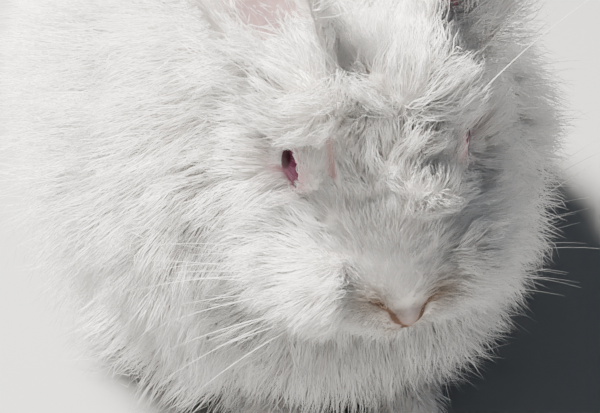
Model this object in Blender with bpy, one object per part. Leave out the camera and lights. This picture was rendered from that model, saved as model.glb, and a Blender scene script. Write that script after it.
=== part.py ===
"""Angora rabbit, life size, crouched on the ground with its head low: a still model in named parts.

Units are metres. The animal faces -Y, its left side is +X and it sits on the plane z = 0.
Each part is a closed solid of its own. Parts that touch keep a thin gap between them.
The woolly coat is an undercoat, at half its depth, with flat tapered locks that bend over it.
"""

import math
from dataclasses import dataclass
from random import Random

import bmesh
import bpy
import numpy as np
from mathutils import Euler, Matrix, Vector

# The thin gap between parts that touch, and the least height of fur above the ground
GAP = 0.0003
FUR_ABOVE_GROUND = 0.002

# How far the coat stands out from the skin, and the share of that which is dense undercoat
BODY_COAT = 0.045
NECK_COAT = 0.032
HAUNCH_COAT = 0.034
TAIL_COAT = 0.022
UNDERCOAT = 0.5

# A lock of wool, from root to tip: (share of length, share of width, share of thickness)
LOCK_STATIONS = (
    (0.00, 0.72, 1.00),
    (0.40, 1.00, 0.80),
    (0.78, 0.55, 0.50),
)
LONG_LOCK_STATIONS = (
    (0.00, 0.72, 1.00),
    (0.32, 1.00, 0.90),
    (0.64, 0.78, 0.66),
    (0.87, 0.38, 0.42),
)
LOCK_TIP_ROOM = 0.0012
LOCK_VARIES = 0.16
LEAN_VARIES = 9
PLACE_VARIES = 0.20
KEEP_CLEAR = 0.004

# Torso: (y, half width, top, bottom) of the skin from chest to rump
TORSO_SECTIONS = (
    (-0.100, 0.000, 0.085, 0.085),
    (-0.088, 0.040, 0.112, 0.044),
    (-0.050, 0.061, 0.131, 0.030),
    (0.000, 0.071, 0.142, 0.026),
    (0.050, 0.075, 0.145, 0.026),
    (0.090, 0.067, 0.134, 0.028),
    (0.118, 0.046, 0.112, 0.040),
    (0.130, 0.000, 0.074, 0.074),
)
# Neck with its ruff and bib: a short oval body under and behind the head
NECK_CENTRE = Vector((0.0, -0.085, 0.094))
NECK_RADII = Vector((0.050, 0.044, 0.060))
# Tail: a short oval held up against the rump
TAIL_CENTRE = Vector((0.0, 0.146, 0.084))
TAIL_RADII = Vector((0.014, 0.018, 0.028))

# Head: (y, half width, top, bottom) from nose to back of skull, in the head's own frame,
# whose origin lies midway between the eyes
HEAD_SECTIONS = (
    (-0.0500, 0.0000, -0.0075, -0.0075),
    (-0.0482, 0.0092, -0.0004, -0.0158),
    (-0.0430, 0.0148, 0.0056, -0.0212),
    (-0.0330, 0.0190, 0.0116, -0.0262),
    (-0.0200, 0.0228, 0.0172, -0.0302),
    (-0.0060, 0.0262, 0.0216, -0.0332),
    (0.0090, 0.0296, 0.0250, -0.0340),
    (0.0230, 0.0292, 0.0252, -0.0306),
    (0.0340, 0.0238, 0.0208, -0.0232),
    (0.0410, 0.0138, 0.0122, -0.0120),
    (0.0440, 0.0000, 0.0010, 0.0010),
)
HEAD_PLACE = Vector((0.003, -0.150, 0.131))
HEAD_PITCH = math.radians(42)
HEAD_YAW = math.radians(6)
HEAD_ROLL = math.radians(-7)

EYE_RADIUS = 0.0085
EYE_PLACE = Vector((0.0208, -0.0010, 0.0070))
LID_RADIUS = 0.0098
LID_SLIT = Vector((0.0110, 0.0068, 0.0036))
LID_SLIT_OUT = 0.0080
LID_TILT = math.radians(18)

MUZZLE_PAD_RADII = Vector((0.0115, 0.0130, 0.0095))
MUZZLE_PAD_PLACE = Vector((0.0088, -0.0375, -0.0112))
CHIN_RADII = Vector((0.0085, 0.0100, 0.0055))
CHIN_PLACE = Vector((0.0, -0.0375, -0.0208))
LOWER_LIP_RADII = Vector((0.0062, 0.0042, 0.0022))
LOWER_LIP_PLACE = Vector((0.0, -0.0450, -0.0186))

# Grooves cut in the muzzle: nostrils, the cleft below the nose and the line of the mouth
NOSTRIL_RADII = Vector((0.0026, 0.0030, 0.0009))
NOSTRIL_PLACE = Vector((0.0042, -0.0495, -0.0048))
NOSTRIL_TILT = math.radians(-32)
CLEFT_RADII = Vector((0.0006, 0.0030, 0.0046))
CLEFT_PLACE = Vector((0.0, -0.0505, -0.0118))
MOUTH_LINE = (
    Vector((0.0000, -0.0492, -0.0160)),
    Vector((0.0052, -0.0494, -0.0180)),
    Vector((0.0105, -0.0462, -0.0188)),
    Vector((0.0150, -0.0400, -0.0184)),
)
MOUTH_LINE_RADIUS = 0.0008

# Ears: leaf-shaped cups, rolled at the root
EAR_LENGTH = 0.098
EAR_HALF_WIDTH = 0.019
EAR_ROOT = Vector((0.0150, 0.0260, 0.0130))
EAR_SPLAY = math.radians(20)
EAR_LEAN = math.radians(24)
EAR_TURN = math.radians(22)
EAR_RINGS = 10
EAR_POINTS = 7

# Ear fringe: locks along the rims, at these rings of the cup
FRINGE_RINGS = (3, 5, 6, 8)
FRINGE_LENGTH = 0.024
FRINGE_WIDTH = 0.0095
FRINGE_THICKNESS = 0.0016
FRINGE_SINK = 0.0035

# Legs
FORELEG_X = 0.026
PAW_SECTIONS = (
    (-0.1460, 0.0000, 0.0060, 0.0060),
    (-0.1440, 0.0085, 0.0120, -0.0020),
    (-0.1360, 0.0122, 0.0175, -0.0040),
    (-0.1200, 0.0120, 0.0210, -0.0040),
    (-0.1020, 0.0115, 0.0240, -0.0040),
    (-0.0920, 0.0080, 0.0200, -0.0020),
    (-0.0890, 0.0000, 0.0100, 0.0100),
)
FOREARM_FROM = Vector((0.026, -0.102, 0.014))
FOREARM_TO = Vector((0.032, -0.078, 0.062))
FOREARM_RADIUS = 0.0135
HIND_X = 0.066
FOOT_SECTIONS = (
    (-0.0460, 0.0000, 0.0060, 0.0060),
    (-0.0440, 0.0095, 0.0120, -0.0020),
    (-0.0340, 0.0138, 0.0180, -0.0040),
    (-0.0100, 0.0135, 0.0220, -0.0040),
    (0.0300, 0.0130, 0.0260, -0.0040),
    (0.0560, 0.0120, 0.0260, -0.0040),
    (0.0660, 0.0080, 0.0210, -0.0020),
    (0.0690, 0.0000, 0.0100, 0.0100),
)
THIGH_CENTRE = Vector((0.053, 0.058, 0.064))
THIGH_RADII = Vector((0.033, 0.056, 0.054))

# Colours: white wool, pink skin and ruby eyes
WHITE_WOOL = (0.88, 0.87, 0.85)
WARM_WOOL = (0.86, 0.83, 0.80)
RUBY = (0.42, 0.07, 0.10)

RIGHT, LEFT = -1, 1


def catmull_rom(values, u):
    """Smooth curve through rows of values, at u from 0 to 1."""
    rows = np.asarray(values, float)
    last = len(rows) - 1
    place = min(max(u, 0.0), 1.0) * last
    i = min(int(place), last - 1)
    t = place - i
    before = rows[i - 1] if i > 0 else 2 * rows[0] - rows[1]
    after = rows[i + 2] if i + 2 <= last else 2 * rows[last] - rows[last - 1]
    a, b = rows[i], rows[i + 1]
    slope_a, slope_b = (b - before) / 2, (after - a) / 2
    return (
        a * (2 * t**3 - 3 * t**2 + 1)
        + slope_a * (t**3 - 2 * t**2 + t)
        + b * (3 * t**2 - 2 * t**3)
        + slope_b * (t**3 - t**2)
    )


@dataclass
class Loft:
    """A closed body along Y through oval sections of (y, half width, top, bottom)."""

    sections: tuple
    frame: Matrix
    floor: float | None = None

    def grown(self, out):
        """The same body with its surface moved out on every side, in proportion."""
        rows = np.asarray(self.sections, float)
        middle = (rows[0, 0] + rows[-1, 0]) / 2
        half = (rows[-1, 0] - rows[0, 0]) / 2
        axis = (rows[:, 2].max() + rows[:, 3].min()) / 2
        half_height = rows[:, 2].max() - axis
        rows[:, 0] = middle + (rows[:, 0] - middle) * (1 + out / half)
        rows[:, 1] *= 1 + out / rows[:, 1].max()
        rows[:, 2:] = axis + (rows[:, 2:] - axis) * (1 + out / half_height)
        return Loft(tuple(map(tuple, rows)), self.frame, self.floor)

    def local(self, u, angle):
        """Point at u along the body and an angle round it: 0 is its left side, a quarter turn its top."""
        along, half_width, top, bottom = catmull_rom(self.sections, u)
        middle, half_height = (top + bottom) / 2, (top - bottom) / 2
        return Vector(
            (
                max(half_width, 0.0) * math.cos(angle),
                along,
                middle + max(half_height, 0.0) * math.sin(angle),
            )
        )

    def point(self, u, angle):
        """The same point in the model's frame, kept above the floor that the body has."""
        found = self.frame @ self.local(u, angle)
        if self.floor is not None:
            found.z = max(found.z, self.floor)
        return found

    def normal(self, u, angle):
        """Direction straight out of the surface."""
        step = 0.01
        along = self.point(u + step, angle) - self.point(u - step, angle)
        around = self.point(u, angle + step) - self.point(u, angle - step)
        return along.cross(around).normalized()

    def holds(self, place):
        """Whether a place in the model's frame lies inside the body."""
        inner = self.frame.inverted() @ place
        rows = np.asarray(self.sections, float)
        if not rows[0, 0] < inner.y < rows[-1, 0]:
            return False
        half_width, top, bottom = (np.interp(inner.y, rows[:, 0], rows[:, k]) for k in (1, 2, 3))
        rise = (inner.z - (top + bottom) / 2) / ((top - bottom) / 2)
        return (inner.x / half_width) ** 2 + rise**2 < 1

    def solid(self, name, along=12, around=20):
        """The body as a closed mesh object."""
        rings = [
            [self.point(i / along, 2 * math.pi * j / around) for j in range(around)]
            for i in range(1, along)
        ]
        return skin_rings(name, rings, self.point(0, 0), self.point(1, 0))


def skin_rings(name, rings, first=None, last=None):
    """A closed mesh object over rings of points, each end drawn to a point or closed flat."""
    shape = bmesh.new()
    made = [[shape.verts.new(p) for p in ring] for ring in rings]
    count = len(made[0])
    for lower, upper in zip(made, made[1:]):
        for j in range(count):
            k = (j + 1) % count
            shape.faces.new((lower[j], upper[j], upper[k]))
            shape.faces.new((lower[j], upper[k], lower[k]))
    for ring, end in ((made[0], first), (made[-1], last)):
        if end is None:
            shape.faces.new(ring)
            continue
        tip = shape.verts.new(end)
        for j in range(count):
            shape.faces.new((ring[j], ring[(j + 1) % count], tip))
    bmesh.ops.recalc_face_normals(shape, faces=shape.faces)
    bmesh.ops.triangulate(shape, faces=[f for f in shape.faces if len(f.verts) > 3])
    return mesh_object(name, shape)


def mesh_object(name, shape):
    """Turns a bmesh into an object of the scene."""
    mesh = bpy.data.meshes.new(name)
    shape.to_mesh(mesh)
    shape.free()
    made = bpy.data.objects.new(name, mesh)
    bpy.context.scene.collection.objects.link(made)
    return made


@dataclass
class Egg:
    """An ellipsoid in a frame, drawn by u from its front to its back and an angle round it."""

    centre: Vector
    radii: Vector
    frame: Matrix
    detail: int = 12
    turn: Euler | None = None

    def grown(self, out):
        """The same body with its surface moved out on every side."""
        return Egg(self.centre, self.radii + Vector((out, out, out)), self.frame, self.detail, self.turn)

    def point(self, u, angle):
        """Point of the surface: angle 0 is its left side, a quarter turn its top."""
        ring = math.sin(math.pi * u)
        unit = Vector((ring * math.cos(angle), -math.cos(math.pi * u), ring * math.sin(angle)))
        return self.frame @ (self.centre + unit * self.radii)

    def normal(self, u, angle):
        """Direction straight out of the surface."""
        step = 0.01
        along = self.point(u + step, angle) - self.point(u - step, angle)
        around = self.point(u, angle + step) - self.point(u, angle - step)
        return along.cross(around).normalized()

    def holds(self, place):
        """Whether a place in the model's frame lies inside the body."""
        inner = self.frame.inverted() @ place - self.centre
        return sum((a / b) ** 2 for a, b in zip(inner, self.radii)) < 1

    def solid(self, name):
        """The body as a closed mesh object."""
        turned = self.turn.to_matrix().to_4x4() if self.turn else Matrix.Identity(4)
        placed = self.frame @ Matrix.Translation(self.centre) @ turned
        shape = bmesh.new()
        bmesh.ops.create_uvsphere(
            shape,
            u_segments=self.detail,
            v_segments=self.detail // 2 + 2,
            radius=1.0,
            matrix=placed @ Matrix.Diagonal((*self.radii, 1.0)),
        )
        return mesh_object(name, shape)


@dataclass
class Lock:
    """One flat lock of wool, which tapers and bends over along the lie of the coat."""

    root: Vector
    out: Vector
    lie: Vector
    length: float
    width: float
    thickness: float
    lean: tuple
    stations: tuple = LOCK_STATIONS

    def heading(self, t):
        """Direction of the lock at a share of its length: its lean is measured from straight out."""
        lean = math.radians(self.lean[0] + (self.lean[1] - self.lean[0]) * t**0.8)
        return self.out * math.cos(lean) + self.lie * math.sin(lean)

    def centre_line(self, t, steps=12):
        """Place on the lock's middle at a share of its length."""
        place = self.root.copy()
        for i in range(steps):
            place += self.heading(t * (i + 0.5) / steps) * (self.length * t / steps)
        return place

    def solid(self, name, grow):
        """The lock as a closed mesh object of lens-shaped sections."""
        across = self.out.cross(self.lie).normalized()
        rings = []
        lift = 0.0
        for t, wide, thick in self.stations:
            a, b = self.width / 2 * wide, self.thickness / 2 * thick
            over = across.cross(self.heading(t))
            centre = self.centre_line(t)
            lowest = min((centre + step).z for step in (across * a, across * -a, over * b, over * -b))
            lift = max(FUR_ABOVE_GROUND + GAP - lowest, 0.0)
            centre.z += lift
            slope = grow * math.hypot(a, b)
            a, b = a + slope / b, b + slope / a
            rings.append([centre + across * a, centre + over * b, centre - across * a, centre - over * b])
        tip = self.centre_line(1.0) + self.heading(1.0) * (LOCK_TIP_ROOM if grow else 0.0)
        tip.z = max(tip.z, FUR_ABOVE_GROUND + GAP)
        return skin_rings(name, rings, None, tip)


@dataclass
class Coat:
    """How locks grow on a stretch of a body: sizes, distances apart and how they stand."""

    length: float
    width: float
    thickness: float
    sink: float
    lean: tuple
    along: float
    around: float
    seed: int
    stations: tuple = LOCK_STATIONS

    def places(self, body, u_span, angle_span, random):
        """Staggered places on a body, about the given distances apart, as (u, angle)."""
        fine = np.linspace(0.0, 1.0, 40)
        middle = sum(angle_span) / 2
        us = u_span[0] + (u_span[1] - u_span[0]) * fine
        down = arc_lengths([body.point(u, middle) for u in us])
        rows = max(round(down[-1] / self.along), 1)
        made = []
        for row in range(rows + 1):
            u = float(np.interp(down[-1] * row / rows, down, us))
            angles = angle_span[0] + (angle_span[1] - angle_span[0]) * fine
            round_it = arc_lengths([body.point(u, a) for a in angles])
            count = max(round(round_it[-1] / self.around), 1)
            for i in range(count + 1 - row % 2):
                share = (i + 0.5 * (row % 2) + random.uniform(-PLACE_VARIES, PLACE_VARIES)) / count
                angle = float(np.interp(round_it[-1] * share, round_it, angles))
                sway = random.uniform(-PLACE_VARIES, PLACE_VARIES) / rows * (u_span[1] - u_span[0])
                made.append((min(max(u + sway, 0.02), 0.98), angle))
        return made

    def lock(self, place, out, pull, random):
        """One lock rooted under a place, varied a little in size and in how it lies."""
        lie = (pull - out * pull.dot(out)).normalized()
        lie = (lie + out.cross(lie) * random.uniform(-0.22, 0.22)).normalized()
        lean = tuple(angle + random.uniform(-LEAN_VARIES, LEAN_VARIES) for angle in self.lean)
        size = 1 + random.uniform(-LOCK_VARIES, LOCK_VARIES)
        wide = 1 + random.uniform(-LOCK_VARIES, LOCK_VARIES) / 2
        made = Lock(
            place,
            out,
            lie,
            self.length * size + self.sink,
            self.width * wide,
            self.thickness * wide,
            lean,
            self.stations,
        )
        made.root = place - made.heading(0.0) * self.sink
        return made

    def over(self, body, u_span, angle_span, pull, grow, others=(), reach=0.0):
        """Locks over a stretch of a body, but for those with a root or a reach inside another body."""
        random = Random(self.seed)
        wider = [other.grown(KEEP_CLEAR) for other in others]
        made = []
        for u, angle in self.places(body, u_span, radians(angle_span), random):
            place = body.point(u, angle)
            drawn = Random(random.random())
            lock = self.lock(place, body.normal(u, angle), pull(place), drawn)
            tested = [place, lock.centre_line(reach)] if reach else [place]
            if any(other.holds(spot) for other in wider for spot in tested):
                continue
            made.append(lock.solid("lock", grow))
        return made


def arc_lengths(places):
    """Length along a row of places up to each of them."""
    steps = [(b - a).length for a, b in zip(places, places[1:])]
    return np.concatenate([[0.0], np.cumsum(steps)])


def radians(span):
    """A span of angles from degrees."""
    return tuple(math.radians(angle) for angle in span)


def side_of(place):
    """Which side of the animal a place is on, fading out towards its middle."""
    return max(-1.0, min(1.0, place.x / 0.02))


def pull_of(sideways, back, up):
    """The way a coat is drawn at each place, its sideways share turned outward on each side."""

    def pull(place):
        return Vector((side_of(place) * sideways, back, up))

    return pull


def tube(name, start, end, radius, frame, sides=12):
    """A straight round bar with closed ends."""
    start, end = frame @ start, frame @ end
    along = end - start
    place = Matrix.Translation((start + end) / 2) @ along.to_track_quat("Z", "Y").to_matrix().to_4x4()
    shape = bmesh.new()
    bmesh.ops.create_cone(
        shape,
        cap_ends=True,
        segments=sides,
        radius1=radius,
        radius2=radius * 1.25,
        depth=along.length,
        matrix=place,
    )
    return mesh_object(name, shape)


def boolean(base, others, operation):
    """Joins other closed mesh objects to base, or cuts them from it, and removes them."""
    if not others:
        return base
    helpers = bpy.data.collections.new("helpers")
    bpy.context.scene.collection.children.link(helpers)
    for other in others:
        bpy.context.scene.collection.objects.unlink(other)
        helpers.objects.link(other)
    modifier = base.modifiers.new("join", "BOOLEAN")
    modifier.operand_type = "COLLECTION"
    modifier.collection = helpers
    modifier.operation = operation
    modifier.solver = "MANIFOLD"
    bpy.context.view_layer.update()
    graph = bpy.context.evaluated_depsgraph_get()
    made = bpy.data.meshes.new_from_object(base.evaluated_get(graph))
    base.modifiers.clear()
    base.data = made
    for other in others:
        bpy.data.objects.remove(other)
    bpy.data.collections.remove(helpers)
    return base


def keep_largest(base):
    """Leaves only the largest closed surface of a mesh object."""
    shape = bmesh.new()
    shape.from_mesh(base.data)
    bmesh.ops.triangulate(shape, faces=shape.faces)
    unseen = set(shape.faces)
    groups = []
    while unseen:
        open_faces = [unseen.pop()]
        group = []
        while open_faces:
            face = open_faces.pop()
            group.append(face)
            for edge in face.edges:
                for other in edge.link_faces:
                    if other in unseen:
                        unseen.remove(other)
                        open_faces.append(other)
        groups.append(group)

    def volume(group):
        return sum(f.verts[0].co.dot(f.verts[1].co.cross(f.verts[2].co)) for f in group)

    groups.sort(key=volume)
    spare = [f for group in groups[:-1] for f in group]
    bmesh.ops.delete(shape, geom=spare, context="FACES")
    loose = [v for v in shape.verts if not v.link_faces]
    bmesh.ops.delete(shape, geom=loose, context="VERTS")
    shape.to_mesh(base.data)
    shape.free()
    return base


def floor_block():
    """A block under the ground plane, which cuts feet flat."""
    shape = bmesh.new()
    bmesh.ops.create_cube(shape, size=1.0, matrix=Matrix.Translation((0, 0, -0.5)))
    return mesh_object("floor_block", shape)


def wool(colour, name):
    """A rough, soft material."""
    made = bpy.data.materials.new(name)
    made.use_nodes = True
    shader = made.node_tree.nodes["Principled BSDF"]
    shader.inputs["Base Color"].default_value = (*colour, 1.0)
    shader.inputs["Roughness"].default_value = 0.9
    shader.inputs["Metallic"].default_value = 0.0
    return made


def head_frame():
    """The head's own frame in the model's."""
    return (
        Matrix.Translation(HEAD_PLACE)
        @ Matrix.Rotation(HEAD_YAW, 4, "Z")
        @ Matrix.Rotation(HEAD_PITCH, 4, "X")
        @ Matrix.Rotation(HEAD_ROLL, 4, "Y")
    )


def mirrored(place, side):
    """A place on the animal's left, moved to the given side."""
    return Vector((place.x * side, place.y, place.z))


def eye_pieces(side, grow):
    """The eyeball."""
    radius = EYE_RADIUS + grow
    return [Egg(mirrored(EYE_PLACE, side), Vector((radius,) * 3), head_frame()).solid("eye")]


def ear_rings(side, grow):
    """Rings of the ear's cup, from its rolled root to its tip, each its outer and then its inner side."""
    root = head_frame() @ mirrored(EAR_ROOT, side)
    turned = (
        Matrix.Rotation(side * EAR_SPLAY, 3, "Y")
        @ Matrix.Rotation(-EAR_LEAN, 3, "X")
        @ Matrix.Rotation(side * EAR_TURN, 3, "Z")
    )
    made = []
    for i in range(EAR_RINGS):
        t = i / (EAR_RINGS - 1) * 0.97
        opening = min(t / 0.6, 1.0)
        if t < 0.4:
            half_width = EAR_HALF_WIDTH * (0.62 + 0.85 * t)
        else:
            half_width = EAR_HALF_WIDTH * 0.96 * (1 - ((t - 0.4) / 0.6) ** 2) ** 0.45
        bend = math.radians(115 - 65 * opening)
        wall = 0.0030 - 0.0010 * t
        radius = half_width / math.sin(min(bend, math.pi / 2))
        outer, inner = [], []
        spread = bend + grow / radius
        for j in range(EAR_POINTS):
            angle = -spread + 2 * spread * j / (EAR_POINTS - 1)
            for ring, size in ((outer, radius + grow), (inner, radius - wall - grow)):
                size = max(size, 0.0006)
                ring.append(Vector((size * math.sin(angle), size * math.cos(angle) - radius, 0.0)))
        rise = Vector((0.0, -0.010 * math.sin(math.pi * t), EAR_LENGTH * t - 0.006))
        if i == 0:
            rise.z -= grow
        made.append([root + turned @ (p + rise) for p in outer + inner[::-1]])
    tip = root + turned @ Vector((0.0, -0.0015, EAR_LENGTH + grow))
    return made, tip


def ear_fringe(side, grow):
    """Flat locks along both rims of the ear and a tassel at its tip."""
    rings, tip = ear_rings(side, 0.0)
    random = Random(31 + side)
    made = []
    rims = ((0, -1, 1), (EAR_POINTS - 1, EAR_POINTS, EAR_POINTS - 2))
    for i in FRINGE_RINGS:
        for outer, inner, beside in rims:
            rim = (rings[i][outer] + rings[i][inner]) / 2
            below = (rings[i - 1][outer] + rings[i - 1][inner]) / 2
            away = (rings[i][outer] - rings[i][beside]).normalized()
            wall = (rings[i][outer] - rings[i][inner]).normalized()
            along = (rim - below).normalized()
            lie = away * random.uniform(0.35, 0.75) + along
            lie = (lie - wall * lie.dot(wall)).normalized()
            length = FRINGE_LENGTH * random.uniform(0.8, 1.15)
            made.append(fringe_lock(rim, wall, lie, length, random, grow))
    last = rings[-2]
    middle = EAR_POINTS // 2
    base = (last[middle] + last[-1 - middle]) / 2
    wall = (last[middle] - last[-1 - middle]).normalized()
    up = (tip - base).normalized()
    lie = (up - wall * up.dot(wall)).normalized()
    made.append(fringe_lock(base, wall, lie, FRINGE_LENGTH * 1.5, random, grow))
    return made


def fringe_lock(place, wall, lie, length, random, grow):
    """One lock of the ear's fringe, rooted within the thickness of its wall."""
    lean = (90, random.uniform(78, 112))
    size = (length + FRINGE_SINK, FRINGE_WIDTH, FRINGE_THICKNESS)
    made = Lock(place, wall, lie, *size, lean)
    made.root = place - lie * FRINGE_SINK
    return made.solid("fringe", grow)


def ear_pieces(side, grow):
    """The ear's cup with its fringe."""
    rings, tip = ear_rings(side, grow)
    return [skin_rings("ear", rings, None, tip)] + ear_fringe(side, grow)


def head_loft():
    """The head's flesh."""
    return Loft(HEAD_SECTIONS, head_frame())


def head_pull(sideways, back, up):
    """A pull given in the head's own frame, its sideways share turned outward on each side."""
    frame = head_frame()

    def pull(place):
        inner = frame.inverted() @ place
        return frame.to_3x3() @ Vector((side_of(inner) * sideways, back, up))

    return pull


BROW_LOCKS = Coat(0.023, 0.0140, 0.0034, 0.005, (14, 52), 0.0120, 0.0130, 11)
NOSE_LOCKS = Coat(0.016, 0.0090, 0.0024, 0.004, (44, 76), 0.0110, 0.0095, 12)
CHEEK_LOCKS = Coat(0.036, 0.0180, 0.0038, 0.005, (36, 72), 0.0165, 0.0155, 13)
THROAT_LOCKS = Coat(0.030, 0.0160, 0.0034, 0.005, (48, 78), 0.0150, 0.0140, 14)
NAPE_LOCKS = Coat(0.032, 0.0160, 0.0036, 0.005, (45, 78), 0.0150, 0.0150, 15)
RUFF_LOCKS = Coat(0.056, 0.0380, 0.0056, 0.010, (42, 84), 0.0310, 0.0330, 21)
BODY_LOCKS = Coat(0.066, 0.0440, 0.0062, 0.012, (44, 84), 0.0360, 0.0380, 22, LONG_LOCK_STATIONS)
HAUNCH_LOCKS = Coat(0.050, 0.0370, 0.0056, 0.010, (50, 86), 0.0330, 0.0340, 23)
TAIL_LOCKS = Coat(0.034, 0.0250, 0.0044, 0.008, (40, 78), 0.0250, 0.0290, 24)
PAW_LOCKS = Coat(0.018, 0.0150, 0.0030, 0.004, (62, 88), 0.0200, 0.0170, 25)


def head_locks(grow):
    """Tufts of the forehead, nose, cheeks, throat and nape."""
    stretches = (
        (BROW_LOCKS, (0.57, 0.78), (60, 120), head_pull(0.7, -0.6, 0.1)),
        (NOSE_LOCKS, (0.28, 0.44), (66, 114), head_pull(0.4, 1.0, 0.0)),
        (CHEEK_LOCKS, (0.30, 0.68), (-66, 0), head_pull(0.9, 0.6, -0.7)),
        (CHEEK_LOCKS, (0.30, 0.68), (246, 180), head_pull(0.9, 0.6, -0.7)),
        (THROAT_LOCKS, (0.34, 0.48), (-106, -74), head_pull(0.3, 0.5, -1.0)),
        (NAPE_LOCKS, (0.70, 0.80), (16, 50), head_pull(0.9, 0.8, 0.1)),
        (NAPE_LOCKS, (0.70, 0.80), (164, 130), head_pull(0.9, 0.8, 0.1)),
    )
    made = []
    for coat, u_span, angle_span, pull in stretches:
        made += coat.over(head_loft(), u_span, angle_span, pull, grow, [neck_core()])
    return made


def head_pieces(grow):
    """Skull and muzzle with whisker pads, lower lip, chin and lids, and the tufts of the face."""
    frame = head_frame()
    pieces = [head_loft().grown(grow).solid("head", 15, 18)]
    for side in (RIGHT, LEFT):
        lids = Vector((LID_RADIUS,) * 3)
        pieces.append(Egg(mirrored(MUZZLE_PAD_PLACE, side), MUZZLE_PAD_RADII, frame).grown(grow).solid("pad"))
        pieces.append(Egg(mirrored(EYE_PLACE, side), lids, frame).grown(grow).solid("lid"))
    pieces.append(Egg(LOWER_LIP_PLACE, LOWER_LIP_RADII, frame, 10).grown(grow).solid("lip"))
    pieces.append(Egg(CHIN_PLACE, CHIN_RADII, frame).grown(grow).solid("chin"))
    return pieces + head_locks(grow)


def face_cutters():
    """Cutters that open the lids and the nostrils and draw the cleft and the line of the mouth."""
    frame = head_frame()
    made = [Egg(CLEFT_PLACE, CLEFT_RADII, frame, 8).solid("cleft")]
    for side in (RIGHT, LEFT):
        place = mirrored(EYE_PLACE, side) + Vector((side * LID_SLIT_OUT, -0.001, 0.0))
        made.append(Egg(place, LID_SLIT, frame, 12, Euler((LID_TILT, 0, 0))).solid("slit"))
        tilt = Euler((0, side * NOSTRIL_TILT, 0))
        made.append(Egg(mirrored(NOSTRIL_PLACE, side), NOSTRIL_RADII, frame, 8, tilt).solid("nostril"))
        line = [mirrored(place, side) for place in MOUTH_LINE]
        for start, end in zip(line, line[1:]):
            made.append(tube("mouth_line", start, end, MOUTH_LINE_RADIUS, frame, 6))
    return made


def neck_core(grow=0.0):
    """Neck and chest under the ruff and bib."""
    return Egg(NECK_CENTRE, NECK_RADII, Matrix.Identity(4), 16).grown(NECK_COAT * UNDERCOAT + grow)


def neck_pieces(grow):
    """Neck with its ruff and bib."""
    pull = pull_of(0.45, 0.30, -1.0)
    locks = RUFF_LOCKS.over(neck_core(), (0.10, 0.72), (-58, 238), pull, grow, [head_loft(), torso_core()])
    return [neck_core(grow).solid("neck")] + locks


def foreleg_pieces(side, grow):
    """Forepaw flat on the ground, and the forearm up into the chest."""
    place = Matrix.Translation((side * FORELEG_X, 0, 0))
    radius = FOREARM_RADIUS + grow
    paw = Loft(PAW_SECTIONS, place)
    return [
        paw.grown(grow).solid("paw", 8, 12),
        tube("forearm", mirrored(FOREARM_FROM, side), mirrored(FOREARM_TO, side), radius, Matrix.Identity(4)),
    ] + PAW_LOCKS.over(paw, (0.30, 0.62), (35, 145), pull_of(0.0, -1.0, -0.4), grow)


def thigh_core(side, grow=0.0):
    """The haunch under its long coat, which grows outward and up and never over the midline."""
    out = HAUNCH_COAT * UNDERCOAT
    centre = THIGH_CENTRE + Vector((out / 2, 0, out / 2))
    radii = THIGH_RADII + Vector((out / 2, out, out / 2))
    return Egg(mirrored(centre, side), radii, Matrix.Identity(4), 16).grown(grow)


def hindleg_pieces(side, grow):
    """Long hind foot flat on the ground, and the haunch above it."""
    foot = Loft(FOOT_SECTIONS, Matrix.Translation((side * HIND_X, 0, 0)))
    outward = (-48, 100) if side == LEFT else (228, 80)
    back = pull_of(0.25, 1.0, -0.8)
    return (
        [thigh_core(side, grow).solid("thigh"), foot.grown(grow).solid("foot", 8, 12)]
        + HAUNCH_LOCKS.over(thigh_core(side), (0.20, 0.84), outward, back, grow, [torso_core()])
        + PAW_LOCKS.over(foot, (0.22, 0.45), (35, 145), pull_of(0.0, -1.0, -0.4), grow)
    )


def tail_core(grow=0.0):
    """The tail under its long coat."""
    return Egg(TAIL_CENTRE, TAIL_RADII, Matrix.Identity(4), 14).grown(TAIL_COAT * UNDERCOAT + grow)


def tail_pieces(grow):
    """The tail."""
    pull = pull_of(0.5, 0.5, 1.0)
    locks = TAIL_LOCKS.over(tail_core(), (0.55, 0.90), (-120, 240), pull, grow, [torso_core()])
    return [tail_core(grow).solid("tail")] + locks


def torso_core(grow=0.0):
    """The trunk under its long coat, flat where it lies along the ground."""
    skin = Loft(TORSO_SECTIONS, Matrix.Identity(4), FUR_ABOVE_GROUND - grow)
    return skin.grown(BODY_COAT * UNDERCOAT + grow)


def torso_pieces(grow):
    """The torso, its coat parted along the back and hanging down its sides."""
    pull = pull_of(0.4, 1.0, -0.9)
    others = [neck_core(), tail_core()] + [thigh_core(side) for side in (RIGHT, LEFT)]
    locks = BODY_LOCKS.over(torso_core(), (0.12, 0.92), (-36, 216), pull, grow, others, 0.7)
    return [torso_core(grow).solid("torso", 14, 24)] + locks


def part(name, pieces, cutters, colour):
    """One named part: its pieces joined, its neighbours' room and the ground cut away."""
    made = boolean(pieces[0], pieces[1:], "UNION")
    made = boolean(made, cutters, "DIFFERENCE")
    made = keep_largest(made)
    made.name = made.data.name = name
    made.data.materials.clear()
    made.data.materials.append(wool(colour, name))
    made.data.shade_smooth()
    made.data.set_sharp_from_angle(angle=math.radians(40))
    return made


def room(builders):
    """Each neighbour as one solid, grown by the gap, to cut from the part beside it."""
    made = []
    for build, *arguments in builders:
        pieces = build(*arguments, GAP)
        made.append(boolean(pieces[0], pieces[1:], "UNION"))
    return made


def centre_on_floor():
    """Moves the whole animal so that the middle of its box stands over the origin."""
    corners = np.array(
        [v.co for o in bpy.context.scene.objects if o.type == "MESH" for v in o.data.vertices]
    )
    low, high = corners.min(0), corners.max(0)
    middle = (low + high) / 2
    shift = Matrix.Translation((-middle[0], -middle[1], -low[2]))
    for o in bpy.context.scene.objects:
        o.data.transform(shift)


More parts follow.
